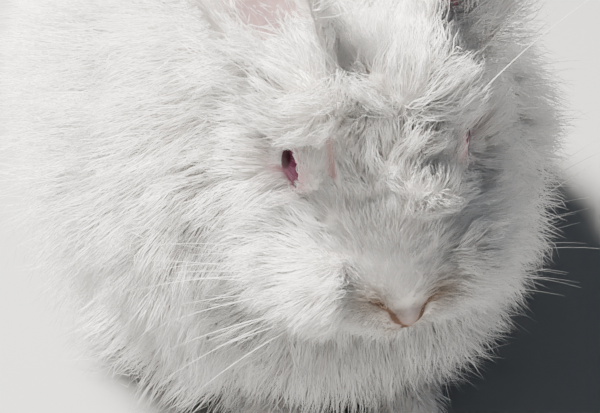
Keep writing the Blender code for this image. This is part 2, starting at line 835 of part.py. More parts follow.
def main():
    """Builds every part, from those that keep their whole shape to those cut back by them."""
    for old in list(bpy.data.objects):
        bpy.data.objects.remove(old)
    eyes = [(eye_pieces, side) for side in (RIGHT, LEFT)]
    ears = [(ear_pieces, side) for side in (RIGHT, LEFT)]
    forelegs = [(foreleg_pieces, side) for side in (RIGHT, LEFT)]
    hindlegs = [(hindleg_pieces, side) for side in (RIGHT, LEFT)]
    head, neck, tail = (head_pieces,), (neck_pieces,), (tail_pieces,)
    for side, word in ((RIGHT, "right"), (LEFT, "left")):
        part(f"eye_{word}", eye_pieces(side, 0.0), [], RUBY)
        part(f"ear_{word}", ear_pieces(side, 0.0), [], WARM_WOOL)
    part("head", head_pieces(0.0), room(eyes + ears) + face_cutters(), WHITE_WOOL)
    for side, word in ((RIGHT, "right"), (LEFT, "left")):
        part(f"foreleg_{word}", foreleg_pieces(side, 0.0), [floor_block()], WHITE_WOOL)
    part("neck", neck_pieces(0.0), room([head] + eyes + ears + forelegs + hindlegs), WHITE_WOOL)
    for side, word in ((RIGHT, "right"), (LEFT, "left")):
        part(f"hindleg_{word}", hindleg_pieces(side, 0.0), [floor_block()], WHITE_WOOL)
    part("tail", tail_pieces(0.0), room(hindlegs), WHITE_WOOL)
    part("torso", torso_pieces(0.0), room([head, neck, tail] + ears + forelegs + hindlegs), WHITE_WOOL)
    centre_on_floor()


main()
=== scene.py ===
"""The looks of a life-size white angora rabbit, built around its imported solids.

The rabbit crouches with its head low. One closed skin with ears, lids, lips and feet stands for the
solids of flesh. Its long coat is solid mesh: fine tapered strands, drawn together into soft tufts,
which are worked out as whole numpy arrays over the skin and follow the lie of the wool.

Units are metres. The animal faces -Y, its left side is +X and it sits on the plane z = 0.
"""

from __future__ import annotations

import logging
import math
from dataclasses import dataclass, field, fields
from enum import Enum

import bpy
import numpy as np
from mathutils import Matrix, Vector


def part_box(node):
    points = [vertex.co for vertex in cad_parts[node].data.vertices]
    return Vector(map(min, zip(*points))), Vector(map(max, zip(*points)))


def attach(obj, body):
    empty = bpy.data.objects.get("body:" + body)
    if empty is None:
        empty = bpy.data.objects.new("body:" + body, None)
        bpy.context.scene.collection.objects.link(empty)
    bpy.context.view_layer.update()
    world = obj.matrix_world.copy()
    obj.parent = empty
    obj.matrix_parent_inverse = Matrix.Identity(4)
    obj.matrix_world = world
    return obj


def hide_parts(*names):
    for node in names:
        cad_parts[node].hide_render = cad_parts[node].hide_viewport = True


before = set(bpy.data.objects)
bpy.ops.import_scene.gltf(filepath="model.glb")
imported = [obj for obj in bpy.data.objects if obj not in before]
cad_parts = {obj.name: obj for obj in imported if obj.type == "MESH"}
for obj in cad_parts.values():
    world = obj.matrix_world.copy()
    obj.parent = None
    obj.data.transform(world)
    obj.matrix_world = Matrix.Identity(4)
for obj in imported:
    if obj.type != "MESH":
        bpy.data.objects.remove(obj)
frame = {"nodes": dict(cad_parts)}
log = logging.getLogger("angora")

# The eyeball of the animal's left, in the head's frame: the whole head is laid out about it
EYE_RADIUS = 0.0085
EYE_PLACE = (0.0208, -0.0010, 0.0070)

# The least height of skin and of wool, and how far from the middle the wool's tips reach at most
SKIN_ABOVE_GROUND = 0.0003
WOOL_ABOVE_GROUND = 0.0022
WOOL_REACH = 0.1498

Point = tuple[float, float, float]
Colour = tuple[float, float, float]
Sections = tuple[tuple[float, float, float, float], ...]
Line = tuple[Point, ...]
Swells = tuple[tuple[float, float, int], ...]
Piece = bpy.types.Object
Socket = bpy.types.NodeSocket


class Side(Enum):
    """Which side of the animal, as the sign of X."""

    RIGHT = -1
    LEFT = 1

    @property
    def word(self) -> str:
        """The side's name in lower case."""
        return self.name.lower()


def smooth_step(low: float | np.ndarray, high: float | np.ndarray, values: np.ndarray) -> np.ndarray:
    """Eases from 0 to 1.

    Args:
        low: where the result leaves 0.
        high: where it reaches 1; it may be less than low.
        values: any array.

    Returns:
        t * t * (3 - 2 t), with t the clamped share of the way from low to high.
    """
    t = np.clip((values - low) / (high - low), 0.0, 1.0)
    return t * t * (3.0 - 2.0 * t)


def bump_at(points: np.ndarray, centre: Point, spread: float) -> np.ndarray:
    """A soft spot: exp(-(distance / spread) squared).

    Args:
        points: (N, 3) places.
        centre: middle of the spot.
        spread: its radius.

    Returns:
        (N,) values from 0 to 1.
    """
    gap = np.linalg.norm(points - np.asarray(centre), axis=-1)
    return np.exp(-((gap / spread) ** 2))


def unit(vectors: np.ndarray) -> np.ndarray:
    """The same vectors at length 1."""
    return vectors / np.maximum(np.linalg.norm(vectors, axis=-1, keepdims=True), 1e-9)


def from_line(points: np.ndarray, line: Line) -> np.ndarray:
    """How far places are from a line of straight stretches.

    Args:
        points: (N, 3) places.
        line: the line's corners.

    Returns:
        (N,) least distances to any stretch.
    """
    corners = np.asarray(line, float)
    least = np.full(len(points), np.inf)
    for a, b in zip(corners[:-1], corners[1:]):
        share = np.clip((points - a) @ (b - a) / np.sum((b - a) ** 2), 0.0, 1.0)
        least = np.minimum(least, np.linalg.norm(points - a - share[:, None] * (b - a), axis=1))
    return least


def across(vectors: np.ndarray, normals: np.ndarray) -> np.ndarray:
    """Vectors laid flat on surfaces: the share along each normal is taken away.

    Args:
        vectors: (N, 3) directions.
        normals: (N, 3) unit normals.

    Returns:
        (N, 3) unit vectors at right angles to the normals.
    """
    return unit(vectors - normals * np.sum(vectors * normals, axis=-1, keepdims=True))


def spline(rows: np.ndarray, u: np.ndarray) -> np.ndarray:
    """Cubic curve through rows of values, with each slope half the step between its neighbours.

    Args:
        rows: (R, C) values.
        u: (N,) shares from 0 to 1 of the way through the rows.

    Returns:
        (N, C) values.
    """
    last = len(rows) - 1
    place = np.clip(u, 0.0, 1.0) * last
    index = np.minimum(place.astype(int), last - 1)
    t = (place - index)[:, None]
    padded = np.vstack([2 * rows[0] - rows[1], rows, 2 * rows[-1] - rows[-2]])
    before, a, b, after = (padded[index + k] for k in range(4))
    rise_a, rise_b = (b - before) / 2, (after - a) / 2
    return (
        a * (2 * t**3 - 3 * t**2 + 1)
        + rise_a * (t**3 - 2 * t**2 + t)
        + b * (3 * t**2 - 2 * t**3)
        + rise_b * (t**3 - t**2)
    )


def turn_of(matrix: Matrix) -> np.ndarray:
    """The 3 x 3 rotation of a matrix as an array."""
    return np.array(matrix.to_3x3())


def placed(local: np.ndarray, own: Matrix) -> np.ndarray:
    """Places of a body's own frame, brought to the scene's."""
    return local @ turn_of(own).T + np.array(own.translation)


def taken_in(points: np.ndarray, own: Matrix) -> np.ndarray:
    """Places of the scene, brought to a body's own frame."""
    return (points - np.array(own.translation)) @ turn_of(own)


def folded_over(local: np.ndarray) -> np.ndarray:
    """A copy of places in which those on the right are brought to the left."""
    folded = local * (1, 1, 1)
    folded[:, 0] = np.abs(folded[:, 0])
    return folded


def keep_mask(mesh: bpy.types.Mesh, word: str, values: np.ndarray) -> None:
    """Keeps a value for each point of a mesh as an attribute."""
    made = mesh.attributes.new(word, "FLOAT", "POINT")
    made.data.foreach_set("value", np.ascontiguousarray(values, np.float32))


def points_of(mesh: bpy.types.Mesh) -> np.ndarray:
    """The places of a mesh's points."""
    found = np.empty(3 * len(mesh.vertices), np.float32)
    mesh.vertices.foreach_get("co", found)
    return found.reshape(-1, 3).astype(float)


def move_points(mesh: bpy.types.Mesh, verts: np.ndarray) -> None:
    """Gives a mesh's points new places."""
    mesh.vertices.foreach_set("co", np.ascontiguousarray(verts, np.float32).ravel())
    mesh.update()


def mesh_piece(
    name: str,
    verts: np.ndarray,
    tris: np.ndarray,
    uv: np.ndarray | None = None,
    masks: dict[str, np.ndarray] | None = None,
) -> Piece:
    """A mesh object from whole arrays.

    Args:
        name: the object's name.
        verts: (V, 3) places.
        tris: (F, 3) corner indices, turned outward.
        uv: (V, 2) places on the map OFBake, if any.
        masks: named (V,) values kept as attributes of the points.

    Returns:
        The object, at the origin.
    """
    mesh = bpy.data.meshes.new(name)
    mesh.vertices.add(len(verts))
    mesh.vertices.foreach_set("co", np.ascontiguousarray(verts, np.float32).ravel())
    mesh.loops.add(3 * len(tris))
    mesh.loops.foreach_set("vertex_index", np.ascontiguousarray(tris, np.int32).ravel())
    mesh.polygons.add(len(tris))
    mesh.polygons.foreach_set("loop_start", np.arange(0, 3 * len(tris), 3, dtype=np.int32))
    mesh.update(calc_edges=True)
    if uv is not None:
        layer = mesh.uv_layers.new(name="OFBake")
        layer.data.foreach_set("uv", np.ascontiguousarray(uv[tris], np.float32).ravel())
    for word, values in (masks or {}).items():
        keep_mask(mesh, word, values)
    mesh.shade_smooth()
    piece = bpy.data.objects.new(name, mesh)
    bpy.context.scene.collection.objects.link(piece)
    return piece


def closed_grid(grid: np.ndarray) -> tuple[np.ndarray, np.ndarray]:
    """A closed surface over rings of points, its ends drawn together in their middles.

    Args:
        grid: (R, P, 3) rings.

    Returns:
        Its places and triangles, turned outward.
    """
    rings, points = grid.shape[:2]
    verts = np.vstack([grid.reshape(-1, 3), grid[0].mean(0), grid[-1].mean(0)])
    ring, point = np.meshgrid(np.arange(rings - 1), np.arange(points), indexing="ij")
    a = (ring * points + point).ravel()
    b = (ring * points + (point + 1) % points).ravel()
    c, d = a + points, b + points
    sides = np.vstack([np.stack([a, c, d], 1), np.stack([a, d, b], 1)])
    rim = np.arange(points)
    following = (rim + 1) % points
    first = np.stack([rim, following, np.full(points, rings * points)], 1)
    base = (rings - 1) * points
    last = np.stack([base + following, base + rim, np.full(points, rings * points + 1)], 1)
    tris = np.vstack([sides, first, last])
    corners = verts[tris]
    volume = np.sum(corners[:, 0] * np.cross(corners[:, 1], corners[:, 2]))
    return verts, tris if volume > 0 else tris[:, ::-1]


@dataclass(frozen=True)
class OvalLoft:
    """A closed body along Y through oval sections of (y, half width, top, bottom), in a frame."""

    sections: Sections
    frame: Matrix

    def grown(self, out: float) -> OvalLoft:
        """The same body with its surface moved out on every side, in proportion.

        Args:
            out: how far it moves at its widest.

        Returns:
            The larger body.
        """
        rows = np.asarray(self.sections, float)
        middle = (rows[0, 0] + rows[-1, 0]) / 2
        half = (rows[-1, 0] - rows[0, 0]) / 2
        axis = (rows[:, 2].max() + rows[:, 3].min()) / 2
        half_height = rows[:, 2].max() - axis
        rows[:, 0] = middle + (rows[:, 0] - middle) * (1 + out / half)
        rows[:, 1] *= 1 + out / rows[:, 1].max()
        rows[:, 2:] = axis + (rows[:, 2:] - axis) * (1 + out / half_height)
        return OvalLoft(tuple(map(tuple, rows)), self.frame)

    def grid(self, rings: int, points: int) -> np.ndarray:
        """Rings of points: x = w cos a, z = m + h sin a, with w, m and h the spline of the sections.

        Args:
            rings: how many rings from end to end.
            points: how many points in each.

        Returns:
            (rings, points, 3) places.
        """
        u = (1 - np.cos(np.linspace(0.03, 0.97, rings) * math.pi)) / 2
        angle = np.linspace(0, 2 * math.pi, points, endpoint=False)
        y, wide, top, bottom = spline(np.asarray(self.sections, float), u).T[:, :, None]
        wide, half = np.maximum(wide, 2e-4), np.maximum((top - bottom) / 2, 2e-4)
        x = wide * np.cos(angle)
        z = (top + bottom) / 2 + half * np.sin(angle)
        return placed(np.stack([x, y + 0 * angle, z], -1), self.frame)

    def level(self, points: np.ndarray) -> np.ndarray:
        """About how far each place is outside the body: (r - 1) of its half width, or past an end.

        Args:
            points: (N, 3) places.

        Returns:
            (N,) distances, less than 0 inside.
        """
        local = taken_in(points, self.frame)
        rows = np.asarray(self.sections, float)
        ends = (rows[0, 0] + rows[-1, 0]) / 2, (rows[-1, 0] - rows[0, 0]) / 2
        y = np.clip(local[:, 1], rows[0, 0] + 1e-4, rows[-1, 0] - 1e-4)
        wide, top, bottom = (np.interp(y, rows[:, 0], rows[:, k]) for k in (1, 2, 3))
        half = (top - bottom) / 2
        ratio = np.hypot(local[:, 0] / wide, (local[:, 2] - (top + bottom) / 2) / half)
        beyond = np.abs(local[:, 1] - ends[0]) - ends[1]
        return np.maximum((ratio - 1) * np.minimum(wide, half), beyond)


@dataclass(frozen=True)
class Egg:
    """An ellipsoid in a frame."""

    centre: Point
    radii: Point
    frame: Matrix
    pitch: float = 0.0

    def grown(self, out: float) -> Egg:
        """The same body with its surface moved out on every side."""
        return Egg(self.centre, tuple(r + out for r in self.radii), self.frame, self.pitch)

    def grid(self, rings: int, points: int) -> np.ndarray:
        """Rings of points: centre + radii * (sin v cos a, -cos v, sin v sin a), tilted by its pitch.

        Args:
            rings: how many rings from end to end.
            points: how many points in each.

        Returns:
            (rings, points, 3) places.
        """
        v = np.linspace(0.04, 0.96, rings)[:, None] * math.pi
        angle = np.linspace(0, 2 * math.pi, points, endpoint=False)
        flat = np.sin(v)
        ball = np.stack([flat * np.cos(angle), -np.cos(v) + 0 * angle, flat * np.sin(angle)], -1)
        turned = (ball * np.asarray(self.radii)) @ turn_of(Matrix.Rotation(self.pitch, 3, "X")).T
        return placed(turned + np.asarray(self.centre), self.frame)

    def level(self, points: np.ndarray) -> np.ndarray:
        """About how far each place is outside the body, less than 0 inside it."""
        local = taken_in(points, self.frame) - np.asarray(self.centre)
        ratio = np.linalg.norm(local / np.asarray(self.radii), axis=1)
        return (ratio - 1) * min(self.radii)


@dataclass(frozen=True)
class EarCup:
    """An ear: a leaf-shaped cup along its own Z, rolled at the root, its hollow facing its own -Y.

    sunk is how deep the root stands in the head, bow is how far the middle leans to the hollow side,
    and widest and end are shares of the length.
    """

    side: Side
    frame: Matrix
    length: float = 0.098
    half_width: float = 0.019
    widest: float = 0.4
    end: float = 0.985
    sunk: float = 0.006
    bow: float = 0.010
    wall_at_root: float = 0.0028
    wall_thins_by: float = 0.0011
    least_radius: float = 6e-4

    def rim_half_width(self, t: np.ndarray) -> np.ndarray:
        """Half the ear's width at a share of its length: it widens evenly and closes as an ellipse."""
        low = 0.62 + 0.85 * t
        high = 0.96 * np.clip(1 - ((t - self.widest) / 0.6) ** 2, 0.0, None) ** 0.45
        return self.half_width * np.where(t < self.widest, low, high)

    def arc(self, t: np.ndarray) -> tuple[np.ndarray, np.ndarray, np.ndarray]:
        """The rim's angle, the radius outside and the thickness of the wall at a share of the length."""
        bend = np.radians(115 - 65 * np.minimum(t / 0.6, 1.0))
        radius = self.rim_half_width(t) / np.sin(np.minimum(bend, math.pi / 2))
        return bend, radius, self.wall_at_root - self.wall_thins_by * t

    def hollow(self, points: np.ndarray) -> np.ndarray:
        """Which places lie on the hollow side of the wall.

        Args:
            points: (N, 3) places on the ear.

        Returns:
            (N,) values, 1 in the hollow and 0 outside.
        """
        x, y, z = self.local(points).T
        t = np.clip((z + self.sunk) / self.length, 0.0, self.end)
        _, radius, wall = self.arc(t)
        out = np.hypot(x, y + self.bow * np.sin(math.pi * t) + radius)
        return smooth_step(radius - 0.35 * wall, radius - 0.65 * wall, out)

    def grid(self, rings: int = 44, points: int = 19) -> np.ndarray:
        """Rings of points: arcs of a circle outside and back inside it, narrowing to the tip.

        Args:
            rings: how many rings from root to tip.
            points: how many points in each arc.

        Returns:
            (rings, 2 points, 3) places.
        """
        t = np.linspace(0.0, self.end, rings)[:, None]
        bend, radius, wall = self.arc(t)
        sweep = np.linspace(-1.0, 1.0, points)
        rolled = wall * 0.5 * np.abs(sweep) ** 8
        inside = np.maximum(radius - wall + rolled, self.least_radius)
        made = []
        for size, order in ((radius - rolled, 1), (inside, -1)):
            angle = (bend * sweep)[:, ::order]
            arc = size[:, ::order]
            made.append(np.stack([arc * np.sin(angle), arc * np.cos(angle) - radius, 0 * angle], -1))
        rise = np.stack([0 * t, -self.bow * np.sin(math.pi * t), self.length * t - self.sunk], -1)
        return placed(np.concatenate(made, axis=1) + rise, self.frame)

    def local(self, points: np.ndarray) -> np.ndarray:
        """Places in the ear's own frame."""
        return taken_in(points, self.frame)

    def holds(self, points: np.ndarray) -> np.ndarray:
        """Which places lie on the free part of the ear."""
        x, y, z = self.local(points).T
        beside = (np.abs(x) < 0.026) & (y > -0.036) & (y < 0.010)
        return beside & (z > 0.012) & (z < self.length + 0.01)


@dataclass(frozen=True)
class Foot:
    """A foot: its sections, how far it stands from the midline, and the Y of its toes' middles."""

    rows: Sections
    x: float
    toes_y: float
    toes: int = 4
    toe_step: float = 0.0056
    toe_set_back: float = 0.003
    toe_height: float = 0.0062
    toe_radii: Point = (0.0035, 0.0095, 0.0056)

    def from_middle(self) -> list[float]:
        """For each toe, how many steps it is from the middle of the foot."""
        return [k - (self.toes - 1) / 2 for k in range(self.toes)]


@dataclass
class Anatomy:
    """The animal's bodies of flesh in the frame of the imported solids.

    Coats are depths of wool, of which the dense undercoat fills the share undercoat. Turns are in
    degrees, rows are the sections of OvalLoft, and a foot's x is how far it stands from the midline.
    """

    body_coat: float = 0.045
    neck_coat: float = 0.032
    haunch_coat: float = 0.034
    tail_coat: float = 0.022
    undercoat: float = 0.62
    head_place: Point = (0.003, -0.150, 0.131)
    head_pitch: float = 42.0
    head_yaw: float = 6.0
    head_roll: float = -7.0
    ear_root: Point = (0.0150, 0.0260, 0.0130)
    ear_splay: float = 20.0
    ear_lean: float = 24.0
    ear_turn: float = 22.0
    torso_rows: Sections = (
        (-0.100, 0.000, 0.085, 0.085),
        (-0.088, 0.040, 0.112, 0.044),
        (-0.050, 0.061, 0.131, 0.030),
        (0.000, 0.071, 0.142, 0.026),
        (0.050, 0.075, 0.145, 0.026),
        (0.090, 0.067, 0.134, 0.028),
        (0.118, 0.046, 0.112, 0.040),
        (0.130, 0.000, 0.074, 0.074),
    )
    head_rows: Sections = (
        (-0.0500, 0.0000, -0.0075, -0.0075),
        (-0.0482, 0.0092, -0.0004, -0.0158),
        (-0.0430, 0.0148, 0.0056, -0.0212),
        (-0.0330, 0.0190, 0.0116, -0.0262),
        (-0.0200, 0.0228, 0.0172, -0.0302),
        (-0.0060, 0.0262, 0.0216, -0.0332),
        (0.0090, 0.0296, 0.0250, -0.0340),
        (0.0230, 0.0292, 0.0252, -0.0306),
        (0.0340, 0.0238, 0.0208, -0.0232),
        (0.0410, 0.0138, 0.0122, -0.0120),
        (0.0440, 0.0000, 0.0010, 0.0010),
    )
    paw_rows: Sections = (
        (-0.1460, 0.0000, 0.0060, 0.0060),
        (-0.1440, 0.0085, 0.0120, 0.0010),
        (-0.1360, 0.0122, 0.0175, 0.0006),
        (-0.1200, 0.0120, 0.0210, 0.0006),
        (-0.1020, 0.0115, 0.0240, 0.0006),
        (-0.0920, 0.0080, 0.0200, 0.0010),
        (-0.0890, 0.0000, 0.0100, 0.0100),
    )
    foot_rows: Sections = (
        (-0.0460, 0.0000, 0.0060, 0.0060),
        (-0.0440, 0.0095, 0.0120, 0.0010),
        (-0.0340, 0.0138, 0.0180, 0.0006),
        (-0.0100, 0.0135, 0.0220, 0.0006),
        (0.0300, 0.0130, 0.0260, 0.0006),
        (0.0560, 0.0120, 0.0260, 0.0006),
        (0.0660, 0.0080, 0.0210, 0.0010),
        (0.0690, 0.0000, 0.0100, 0.0100),
    )

    def __post_init__(self) -> None:
        """Sets every body in place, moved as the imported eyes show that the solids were."""
        head = (
            Matrix.Translation(self.head_place)
            @ Matrix.Rotation(math.radians(self.head_yaw), 4, "Z")
            @ Matrix.Rotation(math.radians(self.head_pitch), 4, "X")
            @ Matrix.Rotation(math.radians(self.head_roll), 4, "Y")
        )
        low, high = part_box("eye_left")
        shift = (Vector(low) + Vector(high)) / 2 - head @ Vector(EYE_PLACE)
        self.moved = Matrix.Translation((shift.x, shift.y, 0.0))
        self.head = self.moved @ head
        self.torso = OvalLoft(self.torso_rows, self.moved).grown(self.body_coat * self.undercoat)
        neck = Egg((0.0, -0.085, 0.094), (0.050, 0.044, 0.060), self.moved)
        self.neck = neck.grown(self.neck_coat * self.undercoat)
        tail = Egg((0.0, 0.146, 0.084), (0.014, 0.018, 0.028), self.moved)
        self.tail = tail.grown(self.tail_coat * self.undercoat)
        self.skull = OvalLoft(self.head_rows, self.head)
        self.thighs = {side: self._thigh(side) for side in Side}
        self.ears = {side: EarCup(side, self._ear_frame(side)) for side in Side}
        self.feet = (Foot(self.paw_rows, 0.026, -0.1420), Foot(self.foot_rows, 0.066, -0.0420))

    def _thigh(self, side: Side) -> Egg:
        """The haunch under its undercoat, which grows outward and up from the skin."""
        out = self.haunch_coat * self.undercoat
        centre = (side.value * (0.053 + out / 2), 0.058, 0.064 + out / 2)
        return Egg(centre, (0.033 + out / 2, 0.056 + out, 0.054 + out / 2), self.moved)

    def _ear_frame(self, side: Side) -> Matrix:
        """The ear's own frame: its root on the head, splayed, leant back and turned outward.

        Args:
            side: which ear.

        Returns:
            The frame's matrix.
        """
        x, y, z = self.ear_root
        return (
            Matrix.Translation(self.head @ Vector((x * side.value, y, z)))
            @ Matrix.Rotation(side.value * math.radians(self.ear_splay), 4, "Y")
            @ Matrix.Rotation(-math.radians(self.ear_lean), 4, "X")
            @ Matrix.Rotation(side.value * math.radians(self.ear_turn), 4, "Z")
        )

    def in_head(self, points: np.ndarray) -> np.ndarray:
        """Places in the head's own frame, whose origin is midway between the eyes."""
        return taken_in(points, self.head)

    def in_body(self, points: np.ndarray) -> np.ndarray:
        """Places in the frame in which the bodies' dimensions are given."""
        return points - np.array(self.moved.translation)

    def eye_centre(self, side: Side) -> Vector:
        """Middle of an eyeball."""
        x, y, z = EYE_PLACE
        return self.head @ Vector((x * side.value, y, z))

    def foot_frame(self, foot: Foot, side: Side) -> Matrix:
        """The frame in which a foot's sections are given."""
        return self.moved @ Matrix.Translation((foot.x * side.value, 0, 0))


def shared_noise() -> bpy.types.NodeTree:
    """The mottling that wool and skin share: two sizes of noise on Object coordinates, mixed.

    Returns:
        A node group with the inputs Coarse and Fine, in cells a metre, and the output Value.
    """
    found = bpy.data.node_groups.get("mottling")
    if found:
        return found
    tree = bpy.data.node_groups.new("mottling", "ShaderNodeTree")
    for word, value in (("Coarse", 60.0), ("Fine", 600.0)):
        made = tree.interface.new_socket(word, in_out="INPUT", socket_type="NodeSocketFloat")
        made.default_value = value
    tree.interface.new_socket("Value", in_out="OUTPUT", socket_type="NodeSocketFloat")
    entry, out = tree.nodes.new("NodeGroupInput"), tree.nodes.new("NodeGroupOutput")
    place = tree.nodes.new("ShaderNodeTexCoord")
    both = tree.nodes.new("ShaderNodeMath")
    both.operation = "MULTIPLY_ADD"
    both.inputs[1].default_value = 0.4
    for index, word in enumerate(("Coarse", "Fine")):
        noise = tree.nodes.new("ShaderNodeTexNoise")
        noise.inputs["Detail"].default_value = 3.0
        tree.links.new(place.outputs["Object"], noise.inputs["Vector"])
        tree.links.new(entry.outputs[word], noise.inputs["Scale"])
        tree.links.new(noise.outputs["Fac"], both.inputs[(2, 0)[index]])
    tree.links.new(both.outputs[0], out.inputs["Value"])
    return tree


@dataclass
class Shading:
    """A material being made, with its nodes at hand."""

    name: str
    material: bpy.types.Material = field(init=False)

    def __post_init__(self) -> None:
        """Starts the material with its Principled BSDF."""
        self.material = bpy.data.materials.new(self.name)
        self.material.use_nodes = True
        self.nodes = self.material.node_tree.nodes
        self.links = self.material.node_tree.links
        self.shader = self.nodes["Principled BSDF"]

    def plain(self, **values: float | tuple[float, ...]) -> None:
        """Sets plain values on the shader's own sockets, whose names have _ for each space."""
        for word, value in values.items():
            self.shader.inputs[word.replace("_", " ")].default_value = value

    def mask(self, name: str) -> Socket:
        """A mask that the mesh carries as an attribute of its points."""
        node = self.nodes.new("ShaderNodeAttribute")
        node.attribute_name = name
        return node.outputs["Fac"]

    def mottling(self, coarse: float, fine: float) -> Socket:
        """The shared mottling with its own sizes.

        Args:
            coarse: large cells a metre.
            fine: small cells a metre.

        Returns:
            The mottling's socket.
        """
        node = self.nodes.new("ShaderNodeGroup")
        node.node_tree = shared_noise()
        node.inputs["Coarse"].default_value = coarse
        node.inputs["Fine"].default_value = fine
        return node.outputs["Value"]

    def eased(self, value: Socket, low: float, high: float) -> Socket:
        """A value brought from between low and high to between 0 and 1.

        Args:
            value: the value's socket.
            low: what becomes 0.
            high: what becomes 1.

        Returns:
            The eased value's socket.
        """
        node = self.nodes.new("ShaderNodeMapRange")
        node.interpolation_type = "SMOOTHSTEP"
        node.inputs["From Min"].default_value = low
        node.inputs["From Max"].default_value = high
        self.links.new(value, node.inputs["Value"])
        return node.outputs["Result"]

    def times(self, value: Socket, other: Socket | float) -> Socket:
        """The product of a value and another value or number.

        Args:
            value: one factor.
            other: the other.

        Returns:
            The product's socket.
        """
        node = self.nodes.new("ShaderNodeMath")
        node.operation = "MULTIPLY"
        self.links.new(value, node.inputs[0])
        if isinstance(other, float):
            node.inputs[1].default_value = other
        else:
            self.links.new(other, node.inputs[1])
        return node.outputs[0]

    def mixed(self, factor: Socket, first: Socket | Colour, second: Socket | Colour) -> Socket:
        """A colour between two others.

        Args:
            factor: 0 for the first, 1 for the second.
            first: a colour or a socket that gives one.
            second: another.

        Returns:
            The socket of the mixed colour.
        """
        node = self.nodes.new("ShaderNodeMix")
        node.data_type = "RGBA"
        self.links.new(factor, node.inputs["Factor"])
        for socket, colour in ((node.inputs[6], first), (node.inputs[7], second)):
            if isinstance(colour, tuple):
                socket.default_value = (*colour, 1.0)
            else:
                self.links.new(colour, socket)
        return node.outputs[2]

    def bumped(self, height: Socket, distance: float, strength: float) -> None:
        """Roughens the surface by a height.

        Args:
            height: the height's socket.
            distance: how high it stands.
            strength: its share from 0 to 1.
        """
        node = self.nodes.new("ShaderNodeBump")
        node.inputs["Distance"].default_value = distance
        node.inputs["Strength"].default_value = strength
        self.links.new(height, node.inputs["Height"])
        self.links.new(node.outputs["Normal"], self.shader.inputs["Normal"])

    def colour(self, socket: Socket) -> None:
        """Gives the surface its colour."""
        self.links.new(socket, self.shader.inputs["Base Color"])


@dataclass(frozen=True)
class WoolFinish:
    """White wool: creamy and warm at the root, white at the tip, pink and stained where masks say, and
    darkened with painted shade in the parting's fold.
    """

    root: Colour = (0.86, 0.82, 0.77)
    tip: Colour = (0.93, 0.925, 0.915)
    shade: Colour = (0.83, 0.81, 0.79)
    pink: Colour = (0.80, 0.58, 0.60)
    # Brown of stains, also laid as painted shade in the parting's fold
    stain: Colour = (0.32, 0.21, 0.13)

    def material(self) -> bpy.types.Material:
        """The finish as a material."""
        made = Shading("white_wool")
        made.plain(Roughness=0.62, Specular_IOR_Level=0.18, Sheen_Weight=0.25, Sheen_Roughness=0.5)
        base = made.mixed(made.eased(made.mask("tip"), 0.0, 0.45), self.root, self.tip)
        base = made.mixed(made.times(made.mask("shade"), 0.55), base, self.shade)
        patches = made.times(made.eased(made.mottling(24.0, 140.0), 0.55, 0.95), 0.35)
        base = made.mixed(patches, base, self.root)
        base = made.mixed(made.mask("pink"), base, self.pink)
        # Brown stains, and painted shade in the parting's fold
        base = made.mixed(made.mask("stain"), base, self.stain)
        made.colour(base)
        return made.material


@dataclass(frozen=True)
class SkinFinish:
    """Pale skin under dense white underwool, pink where it is bare."""

    wool: Colour = (0.86, 0.82, 0.77)
    hollow: Colour = (0.80, 0.74, 0.68)
    pink: Colour = (0.64, 0.37, 0.40)
    # Brown of stains, made darker as painted shade in the creases of the nose and mouth and in the
    # parting
    stain: Colour = (0.11, 0.058, 0.036)

    def material(self) -> bpy.types.Material:
        """The finish as a material."""
        made = Shading("pale_skin")
        made.plain(Roughness=0.7, Specular_IOR_Level=0.25)
        made.plain(Subsurface_Weight=0.12, Subsurface_Scale=0.004, Subsurface_Radius=(1.0, 0.35, 0.25))
        noise = made.mottling(90.0, 900.0)
        base = made.mixed(made.eased(noise, 0.5, 0.95), self.wool, self.hollow)
        base = made.mixed(made.mask("pink"), base, self.pink)
        # Stains, darkened with painted shade
        base = made.mixed(made.mask("stain"), base, self.stain)
        made.colour(base)
        made.bumped(noise, 0.0008, 0.6)
        return made.material


@dataclass(frozen=True)
class EyeFinish:
    """A ruby eye: dark red pupil, pink iris with fine rays, pale pink beyond it, under a wet coat."""

    pupil: Colour = (0.030, 0.004, 0.010)
    iris: Colour = (0.105, 0.026, 0.052)
    rays: Colour = (0.160, 0.055, 0.098)
    white: Colour = (0.50, 0.30, 0.34)

    def material(self) -> bpy.types.Material:
        """The finish as a material."""
        made = Shading("ruby_eye")
        made.plain(Roughness=0.42, Coat_Weight=0.10, Coat_Roughness=0.04, Specular_IOR_Level=0.05)
        ray = made.nodes.new("ShaderNodeTexNoise")
        ray.noise_dimensions = "2D"
        ray.inputs["Scale"].default_value = 24.0
        ray.inputs["Detail"].default_value = 4.0
        join = made.nodes.new("ShaderNodeCombineXYZ")
        made.links.new(made.mask("turn"), join.inputs["X"])
        made.links.new(made.times(made.mask("away"), 0.12), join.inputs["Y"])
        made.links.new(join.outputs["Vector"], ray.inputs["Vector"])
        iris = made.mixed(made.eased(ray.outputs["Fac"], 0.35, 0.7), self.iris, self.rays)
        base = made.mixed(made.eased(made.mask("away"), 0.27, 0.40), self.pupil, iris)
        base = made.mixed(made.eased(made.mask("away"), 1.06, 1.18), base, self.white)
        made.colour(base)
        return made.material


@dataclass(frozen=True)
class HornFinish:
    """Pale horn with faint bands, for claws and whiskers."""

    name: str
    pale: Colour
    dark: Colour
    roughness: float

    def material(self) -> bpy.types.Material:
        """The finish as a material."""
        made = Shading(self.name)
        made.plain(Roughness=self.roughness, Specular_IOR_Level=0.5)
        noise = made.mottling(300.0, 2600.0)
        made.colour(made.mixed(made.eased(noise, 0.45, 0.95), self.pale, self.dark))
        made.bumped(noise, 0.0002, 0.3)
        return made.material


@dataclass(frozen=True)
class FloorFinish:
    """A plain pale matt floor."""

    tone: Colour = (0.26, 0.26, 0.255)

    def material(self) -> bpy.types.Material:
        """The finish as a material."""
        made = Shading("pale_floor")
        made.plain(Base_Color=(*self.tone, 1.0), Roughness=0.85, Specular_IOR_Level=0.2)
        return made.material


